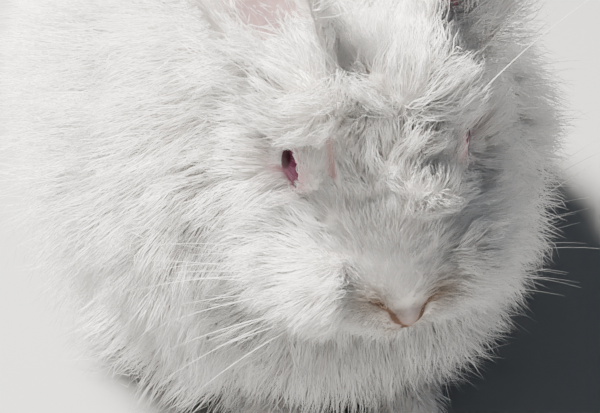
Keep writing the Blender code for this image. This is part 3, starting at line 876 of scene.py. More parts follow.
def applied(piece: Piece) -> Piece:
    """Makes a piece's modifiers part of its mesh.

    Args:
        piece: the piece.

    Returns:
        The same piece.
    """
    bpy.context.view_layer.update()
    graph = bpy.context.evaluated_depsgraph_get()
    mesh = bpy.data.meshes.new_from_object(piece.evaluated_get(graph))
    piece.modifiers.clear()
    piece.data = mesh
    return piece


def carved(base: Piece, others: list[Piece], operation: str) -> Piece:
    """Joins closed pieces to a closed piece, or cuts them from it, and removes them.

    Args:
        base: the piece that stays.
        others: the pieces joined or cut.
        operation: UNION or DIFFERENCE.

    Returns:
        The base, with its new mesh.
    """
    group = bpy.data.collections.new("helpers")
    bpy.context.scene.collection.children.link(group)
    for other in others:
        bpy.context.scene.collection.objects.unlink(other)
        group.objects.link(other)
    modifier = base.modifiers.new("join", "BOOLEAN")
    modifier.operand_type = "COLLECTION"
    modifier.collection = group
    modifier.operation = operation
    modifier.solver = "MANIFOLD"
    applied(base)
    for other in others:
        bpy.data.objects.remove(other)
    bpy.data.collections.remove(group)
    return base


def remeshed(piece: Piece, voxel: float, rounds: int) -> Piece:
    """One even closed surface over a piece, smoothed.

    Args:
        piece: closed surfaces, which may cross.
        voxel: size of the new faces.
        rounds: how often the surface is eased.

    Returns:
        The same piece with its new mesh.
    """
    modifier = piece.modifiers.new("even", "REMESH")
    modifier.mode = "VOXEL"
    modifier.voxel_size = voxel
    modifier.adaptivity = 0.0
    ease = piece.modifiers.new("ease", "SMOOTH")
    ease.factor = 0.5
    ease.iterations = rounds
    return applied(piece)


# Lines on the head, in its frame: the nostril and mouth of the animal's left, the cleft under the nose,
# and a parting beside the near eye where skin shows
NOSTRIL_LINE: Line = ((0.0008, -0.0534, -0.0082), (0.0046, -0.0508, -0.0040), (0.0090, -0.0464, -0.0004))
MOUTH_LINE: Line = (
    (0.0000, -0.0516, -0.0176),
    (0.0052, -0.0506, -0.0190),
    (0.0105, -0.0468, -0.0196),
    (0.0160, -0.0390, -0.0184),
)
CLEFT_LINE: Line = ((0.0, -0.0536, -0.0080), (0.0, -0.0530, -0.0120), (0.0, -0.0516, -0.0176))
PARTING_LINE: Line = ((-0.0156, 0.0030, 0.0200), (-0.0162, -0.0036, 0.0176), (-0.0162, -0.0092, 0.0146))


@dataclass(frozen=True)
class LidOpening:
    """The oval opening of the lids: half its length and height, and its middle from the eyeball's."""

    half_length: float = 0.0077
    half_height: float = 0.0066
    out: float = 0.0080
    back: float = -0.0003
    up: float = 0.0012


LIDS = LidOpening()


@dataclass(frozen=True)
class Mass:
    """A rounded mass of the head in its frame; one with a twin stands on both sides."""

    centre: Point
    radii: Point
    twin: bool = False
    rings: int = 26
    points: int = 32

    def grid(self, own: Matrix, sign: int = 1) -> np.ndarray:
        """Its rings of points, on the left or, with the sign -1, the right."""
        x, y, z = self.centre
        return Egg((x * sign, y, z), self.radii, own).grid(self.rings, self.points)


# Dense wool on the forehead and bridge, and the cheeks and jowls
WOOL_MASSES = (
    Mass((-0.0185, 0.0105, 0.0220), (0.0095, 0.0105, 0.0115)),
    Mass((0.0060, 0.0095, 0.0265), (0.0115, 0.0105, 0.0120)),
    Mass((0.0180, 0.0100, 0.0205), (0.0085, 0.0100, 0.0100)),
    Mass((0.0045, -0.0070, 0.0215), (0.0092, 0.0090, 0.0070)),
    Mass((0.0075, -0.0190, 0.0165), (0.0088, 0.0085, 0.0068)),
    Mass((0.0000, -0.0360, -0.0255), (0.0120, 0.0125, 0.0080)),
    Mass((0.0185, -0.0325, -0.0085), (0.0125, 0.0135, 0.0125), True),
    Mass((0.0245, -0.0170, -0.0200), (0.0145, 0.0170, 0.0140), True),
    Mass((0.0280, 0.0060, -0.0130), (0.0130, 0.0160, 0.0160), True),
)
# Lower lip, chin, tip of the nose and upper lip
MIDDLE_MASSES = (
    Mass((0.0, -0.0450, -0.0186), (0.0062, 0.0042, 0.0022), False, 14, 20),
    Mass((0.0, -0.0375, -0.0208), (0.0085, 0.0100, 0.0055), False, 16, 24),
    Mass((0.0, -0.0480, -0.0062), (0.0062, 0.0052, 0.0050), False, 16, 24),
    Mass((0.0, -0.0470, -0.0140), (0.0090, 0.0058, 0.0050), False, 16, 24),
)
# Whisker pads, cheekbones and lids
TWIN_MASSES = (
    Mass((0.0088, -0.0375, -0.0112), (0.0115, 0.0130, 0.0095), True, 24, 32),
    Mass((0.0190, -0.0040, -0.0160), (0.0110, 0.0190, 0.0130), True, 24, 32),
    Mass(EYE_PLACE, (0.0098, 0.0104, 0.0096), True, 30, 40),
)
# The socket, a little wider than the eyeball, and the opening of the lids
SOCKET = Mass(EYE_PLACE, (EYE_RADIUS + 0.0003,) * 3, True, 30, 40)
LID_CUT = Mass(
    (EYE_PLACE[0] + LIDS.out, EYE_PLACE[1] + LIDS.back, EYE_PLACE[2] + LIDS.up),
    (0.0110, LIDS.half_length, LIDS.half_height),
    True,
    24,
    32,
)


def billows(points: np.ndarray, size: float, seed: int) -> np.ndarray:
    """Soft swells between -1 and 1: the mean of the sines of eight slanted waves, raised.

    Args:
        points: (N, 3) places.
        size: length of the middle wave.
        seed: choice of the waves.

    Returns:
        (N,) heights.
    """
    random = np.random.default_rng(seed)
    ways = unit(random.standard_normal((8, 3))) * (2 * math.pi / size) * random.uniform(0.6, 1.6, (8, 1))
    return np.clip(np.sin(points @ ways.T + random.uniform(0, 7, 8)).mean(axis=1) * 2.4, -1.0, 1.0)


@dataclass(frozen=True)
class Calm:
    """A place on the head, on both sides, near which its surface stays even: from inner to outer."""

    centre: Point
    inner: float
    outer: float

    def eased(self, folded: np.ndarray) -> np.ndarray:
        """0 near the place, 1 beyond its outer distance."""
        return smooth_step(self.inner, self.outer, np.linalg.norm(folded - self.centre, axis=1))


@dataclass
class Skin:
    """The one closed skin: head with lids, nose, lips and ears, trunk, legs and tail.

    A voxel is the size of the faces after an even surface is laid over the bodies, and rounds is how
    often it is then eased. Swells are (height, length, seed) of soft lumps.
    """

    anatomy: Anatomy
    mass_voxel: float = 0.0016
    mass_rounds: int = 7
    head_voxel: float = 0.00075
    head_rounds: int = 3
    body_voxel: float = 0.0026
    body_rounds: int = 6
    groove: float = 0.0008
    mouth_groove: float = 0.0010
    parting_groove: float = 0.0012
    head_swells: Swells = ((0.0019, 0.017, 5), (0.0010, 0.009, 6))
    body_swells: Swells = ((0.0034, 0.042, 3), (0.0014, 0.018, 4))
    nose_calm: Calm = Calm((0.0, -0.050, -0.008), 0.015, 0.026)
    eye_calm: Calm = Calm(EYE_PLACE, 0.0140, 0.0260)
    bridge_calm: Calm = Calm((0.0, -0.034, 0.011), 0.009, 0.019)

    def _solid(self, grid: np.ndarray) -> Piece:
        """A closed helper piece over a grid."""
        return mesh_piece("helper", *closed_grid(grid))

    def _line(self, places: np.ndarray, radius: float, steps: int = 24, sides: int = 10) -> np.ndarray:
        """The grid of a thin round bar along places in the head's frame, narrower at its ends.

        Args:
            places: (N, 3) corners of its middle line.
            radius: half its width at the middle.
            steps: how many circles it has.
            sides: points in each circle.

        Returns:
            Circles across the way between the places.
        """
        fine = spline(places, np.linspace(0, 1, steps))
        ahead = unit(np.gradient(fine, axis=0))
        side = unit(np.cross(ahead, [0.0, 1.0, 0.0]))
        up = np.cross(side, ahead)
        angle = np.linspace(0, 2 * math.pi, sides, endpoint=False)
        swell = np.sin(np.linspace(0.15, 0.85, steps) * math.pi)
        wide = (radius * (0.35 + 0.65 * swell))[:, None, None]
        ring = side[:, None] * np.cos(angle)[:, None] + up[:, None] * np.sin(angle)[:, None]
        return placed(fine[:, None] + ring * wide, self.anatomy.head)

    def _masses(self) -> Piece:
        """The skull with the masses of wool on it, as one eased body."""
        head = self.anatomy.head
        solid = self._solid(self.anatomy.skull.grid(48, 56))
        grids = []
        for mass in WOOL_MASSES:
            grids += [mass.grid(head, sign) for sign in ((1, -1) if mass.twin else (1,))]
        carved(solid, [self._solid(grid) for grid in grids], "UNION")
        return remeshed(solid, self.mass_voxel, self.mass_rounds)

    def _head(self) -> Piece:
        """The head with lips, chin and lids, and with sockets, nostrils, mouth and parting cut in."""
        head = self.anatomy.head
        solid = self._masses()
        more = [mass.grid(head) for mass in MIDDLE_MASSES]
        less = []
        for side in Side:
            more += [mass.grid(head, side.value) for mass in TWIN_MASSES]
            less += [SOCKET.grid(head, side.value), LID_CUT.grid(head, side.value)]
            mirror = (side.value, 1, 1)
            less.append(self._line(np.array(NOSTRIL_LINE) * mirror, self.groove))
            less.append(self._line(np.array(MOUTH_LINE) * mirror, self.mouth_groove))
        less.append(self._line(np.array(CLEFT_LINE), self.groove))
        less.append(self._line(np.array(PARTING_LINE), self.parting_groove))
        carved(solid, [self._solid(grid) for grid in more], "UNION")
        for grid in less:
            carved(solid, [self._solid(grid)], "DIFFERENCE")
        solid = remeshed(solid, self.head_voxel, self.head_rounds)
        local = self.anatomy.in_head(points_of(solid.data))
        folded = folded_over(local)
        calm = self.nose_calm.eased(folded) * self.eye_calm.eased(folded)
        calm *= 0.15 + 0.85 * self.bridge_calm.eased(folded)
        return self._swollen(solid, local, self.head_swells, calm)

    def _swollen(self, solid: Piece, local: np.ndarray, swells: Swells, calm: np.ndarray) -> Piece:
        """Gives a body soft lumps of underwool, each point moved along its normal.

        Args:
            solid: the body.
            local: its points in the frame in which the lumps are laid out.
            swells: the lumps' heights, lengths and seeds.
            calm: the share of the lumps' height at each point.

        Returns:
            The same body.
        """
        swell = sum(height * billows(local, size, seed) for height, size, seed in swells)
        normals = Surface(solid).normals
        move_points(solid.data, points_of(solid.data) + normals * (swell * calm)[:, None])
        return solid

    def _foot(self, foot: Foot, side: Side) -> list[np.ndarray]:
        """A foot with the toes at its front.

        Args:
            foot: its sizes.
            side: where it stands.

        Returns:
            Grids of its closed bodies.
        """
        place = self.anatomy.foot_frame(foot, side)
        made = [OvalLoft(foot.rows, place).grid(30, 28)]
        for step in foot.from_middle():
            centre = (step * foot.toe_step, foot.toes_y + abs(step) * foot.toe_set_back, foot.toe_height)
            made.append(Egg(centre, foot.toe_radii, place).grid(12, 14))
        return made

    def _trunk(self) -> Piece:
        """Torso, neck, haunches, legs and tail as one rounded body."""
        anatomy = self.anatomy
        grids = [anatomy.torso.grid(60, 64), anatomy.neck.grid(40, 48), anatomy.tail.grid(20, 24)]
        for side in Side:
            centre = (0.029 * side.value, -0.090, 0.036)
            upper_arm = Egg(centre, (0.0145, 0.024, 0.034), anatomy.moved, -0.35)
            grids += [anatomy.thighs[side].grid(36, 40), upper_arm.grid(20, 24)]
            for foot in anatomy.feet:
                grids += self._foot(foot, side)
        solid = self._solid(grids[0])
        carved(solid, [self._solid(grid) for grid in grids[1:]], "UNION")
        remeshed(solid, self.body_voxel, self.body_rounds)
        verts = points_of(solid.data)
        return self._swollen(solid, verts, self.body_swells, smooth_step(0.02, 0.05, verts[:, 2]))

    def build(self) -> Piece:
        """Makes the skin as one closed piece with its masks."""
        skin = self._head()
        trunk = self._trunk()
        ears = [self._solid(ear.grid()) for ear in self.anatomy.ears.values()]
        carved(skin, [trunk, *ears], "UNION")
        skin.name = skin.data.name = "skin"
        verts = points_of(skin.data)
        verts[:, 2] = np.maximum(verts[:, 2], SKIN_ABOVE_GROUND)
        move_points(skin.data, verts)
        for word, values in bare_masks(self.anatomy, verts).items():
            keep_mask(skin.data, word, values)
        skin.data.shade_smooth()
        return skin


def lid_ratio(folded: np.ndarray) -> np.ndarray:
    """How far places are from the middle of the lids' opening: 1 at its rim, large off the eye's side.

    Args:
        folded: (N, 3) places in the head's frame, all brought to its left.

    Returns:
        (N,) ratios.
    """
    y = (folded[:, 1] - EYE_PLACE[1] - LIDS.back) / LIDS.half_length
    z = (folded[:, 2] - EYE_PLACE[2] - LIDS.up) / LIDS.half_height
    inward_of_eye = folded[:, 0] < 0.0215
    return np.hypot(y, z) + 8.0 * inward_of_eye


def bare_masks(anatomy: Anatomy, points: np.ndarray) -> dict[str, np.ndarray]:
    """Where skin shows through and is pink, where it is stained or darkened with painted shade, and
    where nothing grows.

    Args:
        anatomy: the animal.
        points: (N, 3) places on the skin.

    Returns:
        The masks of pink, of stain with painted shade, and of bare skin, each (N,) from 0 to 1: rims of
        the lids, the nose, lines of the nostrils, mouth and cleft, the parting, and the hollow of each
        ear.
    """
    local = anatomy.in_head(points)
    folded = folded_over(local)
    rim = lid_ratio(folded)
    corner = bump_at(folded, (0.0262, -0.0090, 0.0045), 0.0050)
    nose = bump_at(folded, (0.0016, -0.0510, -0.0065), 0.0050)
    parting = from_line(local, PARTING_LINE)
    pink = 0.95 * smooth_step(1.34, 1.04, rim) + 0.45 * corner + 0.6 * nose
    pink += 0.75 * smooth_step(0.0026, 0.0006, parting)
    pink = np.clip(pink, 0.0, 1.0)
    for ear in anatomy.ears.values():
        x, _, z = ear.local(points).T
        t = np.clip(z / ear.length, 0.0, 1.0)
        half = ear.rim_half_width(t)
        inside = smooth_step(1.0, 0.45, np.abs(x) / half) * smooth_step(0.95, 0.6, t)
        pink = np.maximum(pink, 0.75 * inside * ear.hollow(points) * ear.holds(points))
    lines = [from_line(folded, line) for line in (NOSTRIL_LINE, CLEFT_LINE, MOUTH_LINE)]
    reach = np.minimum(lines[0], lines[1])
    stain = 0.90 * smooth_step(0.0016, 0.0005, reach) + 0.74 * smooth_step(0.0085, 0.0010, reach)
    # The mouth's line is stained; the parting's fold gets painted shade through the same mask
    stain += 0.35 * smooth_step(0.0030, 0.0008, lines[2]) + 0.38 * smooth_step(0.0022, 0.0005, parting)
    stain = np.clip(stain, 0.0, 1.0)
    bare = np.maximum(smooth_step(0.0009, 0.0004, np.minimum(reach, lines[2])), rim < 1.08)
    bare = np.maximum(bare, 0.8 * smooth_step(0.0010, 0.0004, parting))
    return {"pink": pink, "stain": stain, "bare": bare}


class Surface:
    """The skin as triangles, on which strands of wool take root."""

    def __init__(self, skin: Piece) -> None:
        """Reads the skin's triangles and the normals of its points.

        Args:
            skin: the piece.
        """
        mesh = skin.data
        mesh.calc_loop_triangles()
        self.verts = points_of(mesh)
        found = np.empty(3 * len(mesh.loop_triangles), np.int32)
        mesh.loop_triangles.foreach_get("vertices", found)
        self.tris = found.reshape(-1, 3)
        found = np.empty(3 * len(mesh.vertices), np.float32)
        mesh.vertex_normals.foreach_get("vector", found)
        self.normals = found.reshape(-1, 3).astype(float)
        corners = self.verts[self.tris]
        crossed = np.cross(corners[:, 1] - corners[:, 0], corners[:, 2] - corners[:, 0])
        self.area = np.linalg.norm(crossed, axis=1) / 2
        self.middle = corners.mean(axis=1)
        self.facing = unit(crossed)

    def roots(self, density: np.ndarray, random: np.random.Generator) -> tuple[np.ndarray, np.ndarray]:
        """Places and normals for strands, spread evenly: one in each unit of the summed density * area.

        Args:
            density: (F,) strands on a square metre of each triangle.
            random: source of the places inside the triangles.

        Returns:
            (N, 3) places and (N, 3) unit normals.
        """
        total = np.cumsum(density * self.area)
        marks = np.arange(int(total[-1])) + random.random(int(total[-1]))
        index = np.minimum(np.searchsorted(total, marks), len(total) - 1)
        first, second = random.random((2, len(index), 1))
        over = first + second > 1
        first, second = np.where(over, 1 - first, first), np.where(over, 1 - second, second)
        a, b, c = (self.tris[index, k] for k in range(3))
        places, normals = (
            values[a] + first * (values[b] - values[a]) + second * (values[c] - values[a])
            for values in (self.verts, self.normals)
        )
        return places, unit(normals)


@dataclass(frozen=True)
class Wool:
    """The wool of one part of the body.

    length and width are a strand's, density is in strands on a square metre, lean is in degrees from
    straight up at root and tip, pull is (sideways, back, up) and reach is how far it blends over.
    """

    length: float
    width: float
    density: float
    lean: tuple[float, float]
    pull: Point
    reach: float = 0.008


@dataclass
class Growth:
    """How strands grow, one row or value for each root."""

    pull: np.ndarray
    length: np.ndarray
    width: np.ndarray
    lean_root: np.ndarray
    lean_tip: np.ndarray
    density: np.ndarray


def blended(parts: list[tuple[np.ndarray, Growth]]) -> Growth:
    """Growths mixed by their weights at each root.

    Args:
        parts: (N,) weights with the growth that each stands for.

    Returns:
        The weighted means.
    """
    total = sum(weight for weight, _ in parts) + 1e-9

    def mean(word: str) -> np.ndarray:
        """The weighted mean of one of the growths' arrays."""
        first = getattr(parts[0][1], word)
        shape = (-1, 1) if first.ndim == 2 else (-1,)
        return sum(w.reshape(shape) * getattr(g, word) for w, g in parts) / total.reshape(shape)

    return Growth(*(mean(growing.name) for growing in fields(Growth)))


@dataclass(frozen=True)
class HeadSeat:
    """The wool about one place on the head, in the head's own frame.

    root and tip are its lean in degrees, and pull is (sideways, back, up). A seat with own_side stands
    only where its centre is, and its sideways pull is then along +X; any other is on both sides.
    """

    centre: Point
    spread: float
    length: float
    root: float
    tip: float
    pull: Point
    own_side: bool = False


HEAD_SEATS = (
    # Nose, lips and chin
    HeadSeat((0.000, -0.0495, -0.005), 0.0055, 0.0022, 62, 76, (0.2, 1.0, 0.4)),
    HeadSeat((0.010, -0.0455, -0.013), 0.0060, 0.0080, 44, 72, (1.0, 0.2, -0.6)),
    HeadSeat((0.004, -0.0410, -0.024), 0.0090, 0.0110, 40, 68, (0.4, 0.2, -1.0)),
    # Bridge of the nose: short and flat low down, fuller towards the forehead
    HeadSeat((0.003, -0.0390, 0.009), 0.0090, 0.0052, 60, 78, (0.25, 1.0, 0.05)),
    HeadSeat((-0.006, -0.0240, 0.015), 0.0070, 0.0090, 52, 74, (-0.2, 1.0, 0.1), True),
    HeadSeat((0.006, -0.0250, 0.014), 0.0070, 0.0100, 30, 66, (0.3, 1.0, 0.2), True),
    HeadSeat((0.004, -0.0120, 0.020), 0.0065, 0.0110, 24, 62, (0.2, 1.0, 0.3), True),
    HeadSeat((0.002, -0.0020, 0.0235), 0.0055, 0.0110, 26, 62, (0.1, 1.0, 0.3), True),
    # Sides of the muzzle, jowls and throat
    HeadSeat((0.0175, -0.0380, -0.005), 0.0085, 0.0150, 26, 62, (1.0, 0.05, -0.30)),
    HeadSeat((0.0200, -0.0300, -0.017), 0.0100, 0.0190, 24, 62, (1.0, 0.10, -0.60)),
    HeadSeat((0.0260, -0.0100, -0.018), 0.0130, 0.0240, 28, 66, (1.0, 0.30, -0.60)),
    HeadSeat((0.0080, -0.0120, -0.032), 0.0140, 0.0200, 40, 70, (0.3, 0.2, -1.0)),
    # Round the eyes
    HeadSeat((0.0290, -0.0030, 0.0065), 0.0052, 0.0030, 66, 78, (0.9, 0.5, -0.2)),
    HeadSeat((0.0250, -0.0150, -0.001), 0.0075, 0.0170, 34, 68, (1.0, 0.3, -0.40)),
    HeadSeat((0.0290, 0.0120, -0.001), 0.0090, 0.0200, 30, 70, (1.0, 0.8, 0.0)),
    HeadSeat((0.0225, 0.0060, 0.0165), 0.0055, 0.0150, 40, 66, (1.0, 0.8, 0.1)),
    # The furrow between the near eye and the bridge, short and smooth
    HeadSeat((-0.0165, -0.0010, 0.0180), 0.0042, 0.0070, 62, 78, (0.3, 1.0, 0.0), True),
    HeadSeat((-0.0195, -0.0115, 0.0105), 0.0042, 0.0060, 64, 80, (0.3, 1.0, 0.0), True),
    HeadSeat((-0.0195, -0.0220, 0.0040), 0.0045, 0.0080, 60, 78, (-0.4, 1.0, -0.2), True),
    HeadSeat((0.0195, -0.0120, 0.0100), 0.0042, 0.0090, 60, 78, (0.4, 1.0, 0.0), True),
    # Forehead: two full tufts that fan back, then the short wool of the crown
    HeadSeat((-0.0190, 0.0110, 0.0185), 0.0080, 0.0150, 22, 60, (-1.0, 0.8, 0.3), True),
    HeadSeat((-0.0090, 0.0080, 0.0240), 0.0050, 0.0120, 26, 62, (-0.6, 1.0, 0.3), True),
    HeadSeat((0.0080, 0.0090, 0.0240), 0.0090, 0.0155, 20, 60, (0.15, 1.0, 0.4), True),
    HeadSeat((0.0190, 0.0080, 0.0185), 0.0070, 0.0150, 22, 60, (0.7, 1.0, 0.3), True),
    HeadSeat((-0.0020, 0.0120, 0.0250), 0.0035, 0.0180, 40, 66, (0.0, 1.0, 0.3), True),
    HeadSeat((0.0000, 0.0290, 0.0210), 0.0110, 0.0090, 50, 76, (0.3, 1.0, 0.3)),
    HeadSeat((0.0210, 0.0340, 0.0000), 0.0150, 0.0300, 32, 70, (0.8, 1.0, -0.3)),
)


@dataclass
class LieOfTheCoat:
    """The direction, length, lean and density of the wool all over the skin.

    Head rows go from the nose back: each Y in the head's frame has the width and density of its wool.
    Waves are (strength, size, seed) of slow changes of direction, length and lean.
    """

    anatomy: Anatomy
    torso: Wool = Wool(0.050, 0.00058, 29e4, (12, 62), (0.5, 0.8, -0.8))
    neck: Wool = Wool(0.036, 0.00046, 45e4, (18, 66), (0.6, 0.1, -1.0))
    thigh: Wool = Wool(0.040, 0.00058, 30e4, (18, 68), (0.4, 1.0, -0.8))
    tail: Wool = Wool(0.030, 0.00060, 40e4, (18, 64), (0.5, 0.5, 1.0))
    foot: Wool = Wool(0.011, 0.00056, 30e4, (48, 74), (0.0, -1.0, -0.3), 0.003)
    head_width_y: tuple[float, ...] = (-0.05, -0.02, 0.02, 0.04)
    head_width: tuple[float, ...] = (0.00024, 0.00030, 0.00036, 0.00048)
    head_density_y: tuple[float, ...] = (-0.05, -0.02, 0.0, 0.035)
    head_density: tuple[float, ...] = (222e4, 166e4, 126e4, 74e4)
    head_weight: float = 3.0
    head_reach: float = 0.007
    ear_width: float = 0.00042
    ear_lean: float = 52.0
    turn_wave: tuple[float, float, int] = (24, 0.034, 8)
    length_wave: tuple[float, float, int] = (0.13, 0.019, 9)
    lean_wave: tuple[float, float, int] = (8, 0.015, 10)

    def __post_init__(self) -> None:
        """Lists the bodies with their wool."""
        anatomy = self.anatomy
        self.bodies = [(anatomy.torso, self.torso), (anatomy.neck, self.neck), (anatomy.tail, self.tail)]
        self.bodies += [(thigh, self.thigh) for thigh in anatomy.thighs.values()]
        self.feet = [
            OvalLoft(foot.rows, anatomy.foot_frame(foot, side)) for side in Side for foot in anatomy.feet
        ]
        self.bodies += [(body, self.foot) for body in self.feet]

    def _even(self, wool: Wool, places: np.ndarray) -> Growth:
        """The growth of a body with the same wool all over.

        Args:
            wool: its wool.
            places: (N, 3) roots.

        Returns:
            Their growth.
        """
        count = len(places)
        sideways, back, up = wool.pull
        side = np.clip(places[:, 0] / 0.02, -1, 1)
        pull = np.stack([side * sideways, np.full(count, back), np.full(count, up)], 1)
        values = (wool.length, wool.width, *map(math.radians, wool.lean), wool.density)
        made = Growth(unit(pull), *(np.full(count, value) for value in values))
        x, y, z = self.anatomy.in_body(places).T
        # Flatter on the left shoulder, longer on the right of the chest, short where the head lies on it
        pressed = smooth_step(0.03, 0.08, x) * smooth_step(0.06, -0.02, y)
        made.lean_root += math.radians(22) * pressed
        made.lean_tip += math.radians(16) * pressed
        spread = smooth_step(-0.02, -0.06, x) * smooth_step(0.00, -0.06, y) * smooth_step(0.10, 0.03, z)
        behind_head = smooth_step(0.034, 0.006, self.anatomy.skull.level(places))
        made.length *= (1 - 0.12 * pressed + 0.30 * spread) * (1 - 0.55 * behind_head)
        return made

    def head(self, places: np.ndarray) -> Growth:
        """The growth of the head's wool, blended from its seats.

        The weight of a seat is exp(-(distance / spread) squared), all divided by their sum. A seat
        with no side of its own counts on both sides alike.

        Args:
            places: (N, 3) roots.

        Returns:
            Their growth.
        """
        local = self.anatomy.in_head(places)
        folded = folded_over(local)
        powers = []
        for seat in HEAD_SEATS:
            gap = np.linalg.norm((local if seat.own_side else folded) - np.asarray(seat.centre), axis=1)
            powers.append(-((gap / seat.spread) ** 2))
        powers = np.stack(powers, 1)
        weights = np.exp(powers - powers.max(axis=1, keepdims=True))
        weights /= weights.sum(axis=1, keepdims=True)
        both = np.array([not seat.own_side for seat in HEAD_SEATS])
        pulls = np.array([seat.pull for seat in HEAD_SEATS], float)
        side = np.clip(local[:, 0] / 0.004, -1, 1)
        pull = weights @ pulls
        pull[:, 0] = (weights[:, both] @ pulls[both, 0]) * side + weights[:, ~both] @ pulls[~both, 0]
        pull = unit(pull) @ turn_of(self.anatomy.head).T
        length = weights @ np.array([seat.length for seat in HEAD_SEATS])
        root = weights @ np.array([seat.root for seat in HEAD_SEATS])
        tip = weights @ np.array([seat.tip for seat in HEAD_SEATS])
        y = local[:, 1]
        width = np.interp(y, self.head_width_y, self.head_width)
        density = np.interp(y, self.head_density_y, self.head_density)
        return Growth(pull, length, width, np.radians(root), np.radians(tip), density)

    def ear(self, ear: EarCup, places: np.ndarray) -> Growth:
        """The growth of an ear's wool: short inside, longer outside, longest on its rims and tip.

        Args:
            ear: the ear.
            places: (N, 3) roots.

        Returns:
            Their growth.
        """
        x, _, z = ear.local(places).T
        inner = ear.hollow(places)
        t = np.clip(z / ear.length, 0.0, 0.999)
        rim = smooth_step(0.60, 1.0, np.abs(x) / ear.rim_half_width(t))
        tip = smooth_step(0.72, 1.0, t)
        length = 0.013 + 0.010 * rim + 0.012 * tip - 0.007 * inner * (1 - rim)
        pull = np.stack([np.sign(x) * (0.25 + 0.9 * rim), 0.1 + 0 * x, 1.0 - 0.6 * rim * (1 - tip)], 1)
        pull = unit(pull) @ turn_of(ear.frame).T
        width = np.full(len(places), self.ear_width)
        lean = np.radians(self.ear_lean) + 0 * x
        density = 62e4 - 22e4 * inner
        return Growth(pull, length, width, lean, lean + np.radians(24), density)

    def at(self, places: np.ndarray, normals: np.ndarray) -> Growth:
        """The growth at any places on the skin, blended where its parts meet.

        Args:
            places: (N, 3) places.
            normals: (N, 3) unit normals there.

        Returns:
            Their growth: each body's weight is exp(-level / reach), and an ear's is all or nothing.
        """
        parts = []
        for body, wool in self.bodies:
            weight = np.exp(-np.maximum(body.level(places), 0.0) / wool.reach)
            parts.append((weight, self._even(wool, places)))
        level = np.maximum(self.anatomy.skull.level(places), 0.0)
        parts.append((self.head_weight * np.exp(-level / self.head_reach), self.head(places)))
        for ear in self.anatomy.ears.values():
            parts.append((1e4 * ear.holds(places), self.ear(ear, places)))
        made = blended(parts)
        made.pull = across(made.pull, normals)
        strength, size, seed = self.turn_wave
        turn = np.radians(strength) * billows(places, size, seed)[:, None]
        made.pull = np.cos(turn) * made.pull + np.sin(turn) * np.cross(normals, made.pull)
        strength, size, seed = self.length_wave
        made.length = made.length * (0.97 + strength * billows(places, size, seed))
        strength, size, seed = self.lean_wave
        made.lean_tip = made.lean_tip + np.radians(strength) * billows(places, size, seed)
        under = smooth_step(-0.35, -0.85, normals[:, 2]) * smooth_step(0.035, 0.02, places[:, 2])
        bare = bare_masks(self.anatomy, places)["bare"]
        made.density = made.density * (1 - 0.8 * under) * (1 - bare)
        return made


def nearest(places: np.ndarray, seeds: np.ndarray, at_once: int = 2000) -> np.ndarray:
    """The nearest seed of each place, worked out for a block of places at once.

    Args:
        places: (N, 3) places.
        seeds: (M, 3) places.
        at_once: the size of a block.

    Returns:
        (N,) indices of seeds.
    """
    found = np.empty(len(places), int)
    for start in range(0, len(places), at_once):
        block = places[start : start + at_once]
        apart = np.sum(seeds**2, 1)[None] - 2 * block @ seeds.T
        found[start : start + at_once] = np.argmin(apart, axis=1)
    return found


def drawn_back(lines: np.ndarray, share: np.ndarray) -> np.ndarray:
    """Strands made shorter about their roots, each to its share."""
    return lines[:, :1] + (lines - lines[:, :1]) * share[:, None, None]


@dataclass(frozen=True)
class Sight:
    """A clear way to an eye: a place from its middle, the way from there, its radius and widening."""

    place: Point
    way: Point
    radius: float
    widening: float


# From the side, and from above the nose, for the eye of the animal's left
SIGHTS = (
    Sight((0.0070, -0.0010, 0.0010), (1.0, -0.20, 0.10), 0.0046, 0.28),
    Sight((0.0085, -0.0010, 0.0016), (0.14, -0.33, 0.93), 0.0029, 0.14),
)


@dataclass(frozen=True)
class Tufting:
    """How the strands of a patch are drawn together.

    rings are the three-sided rings of a strand, tuft is how many strands share a guide, gather is how
    far they are drawn to it, frizz is the size of their waves in lengths, and bunch is how far the
    guides are drawn to fewer guides.
    """

    rings: int
    tuft: int
    gather: float
    frizz: float
    bunch: float


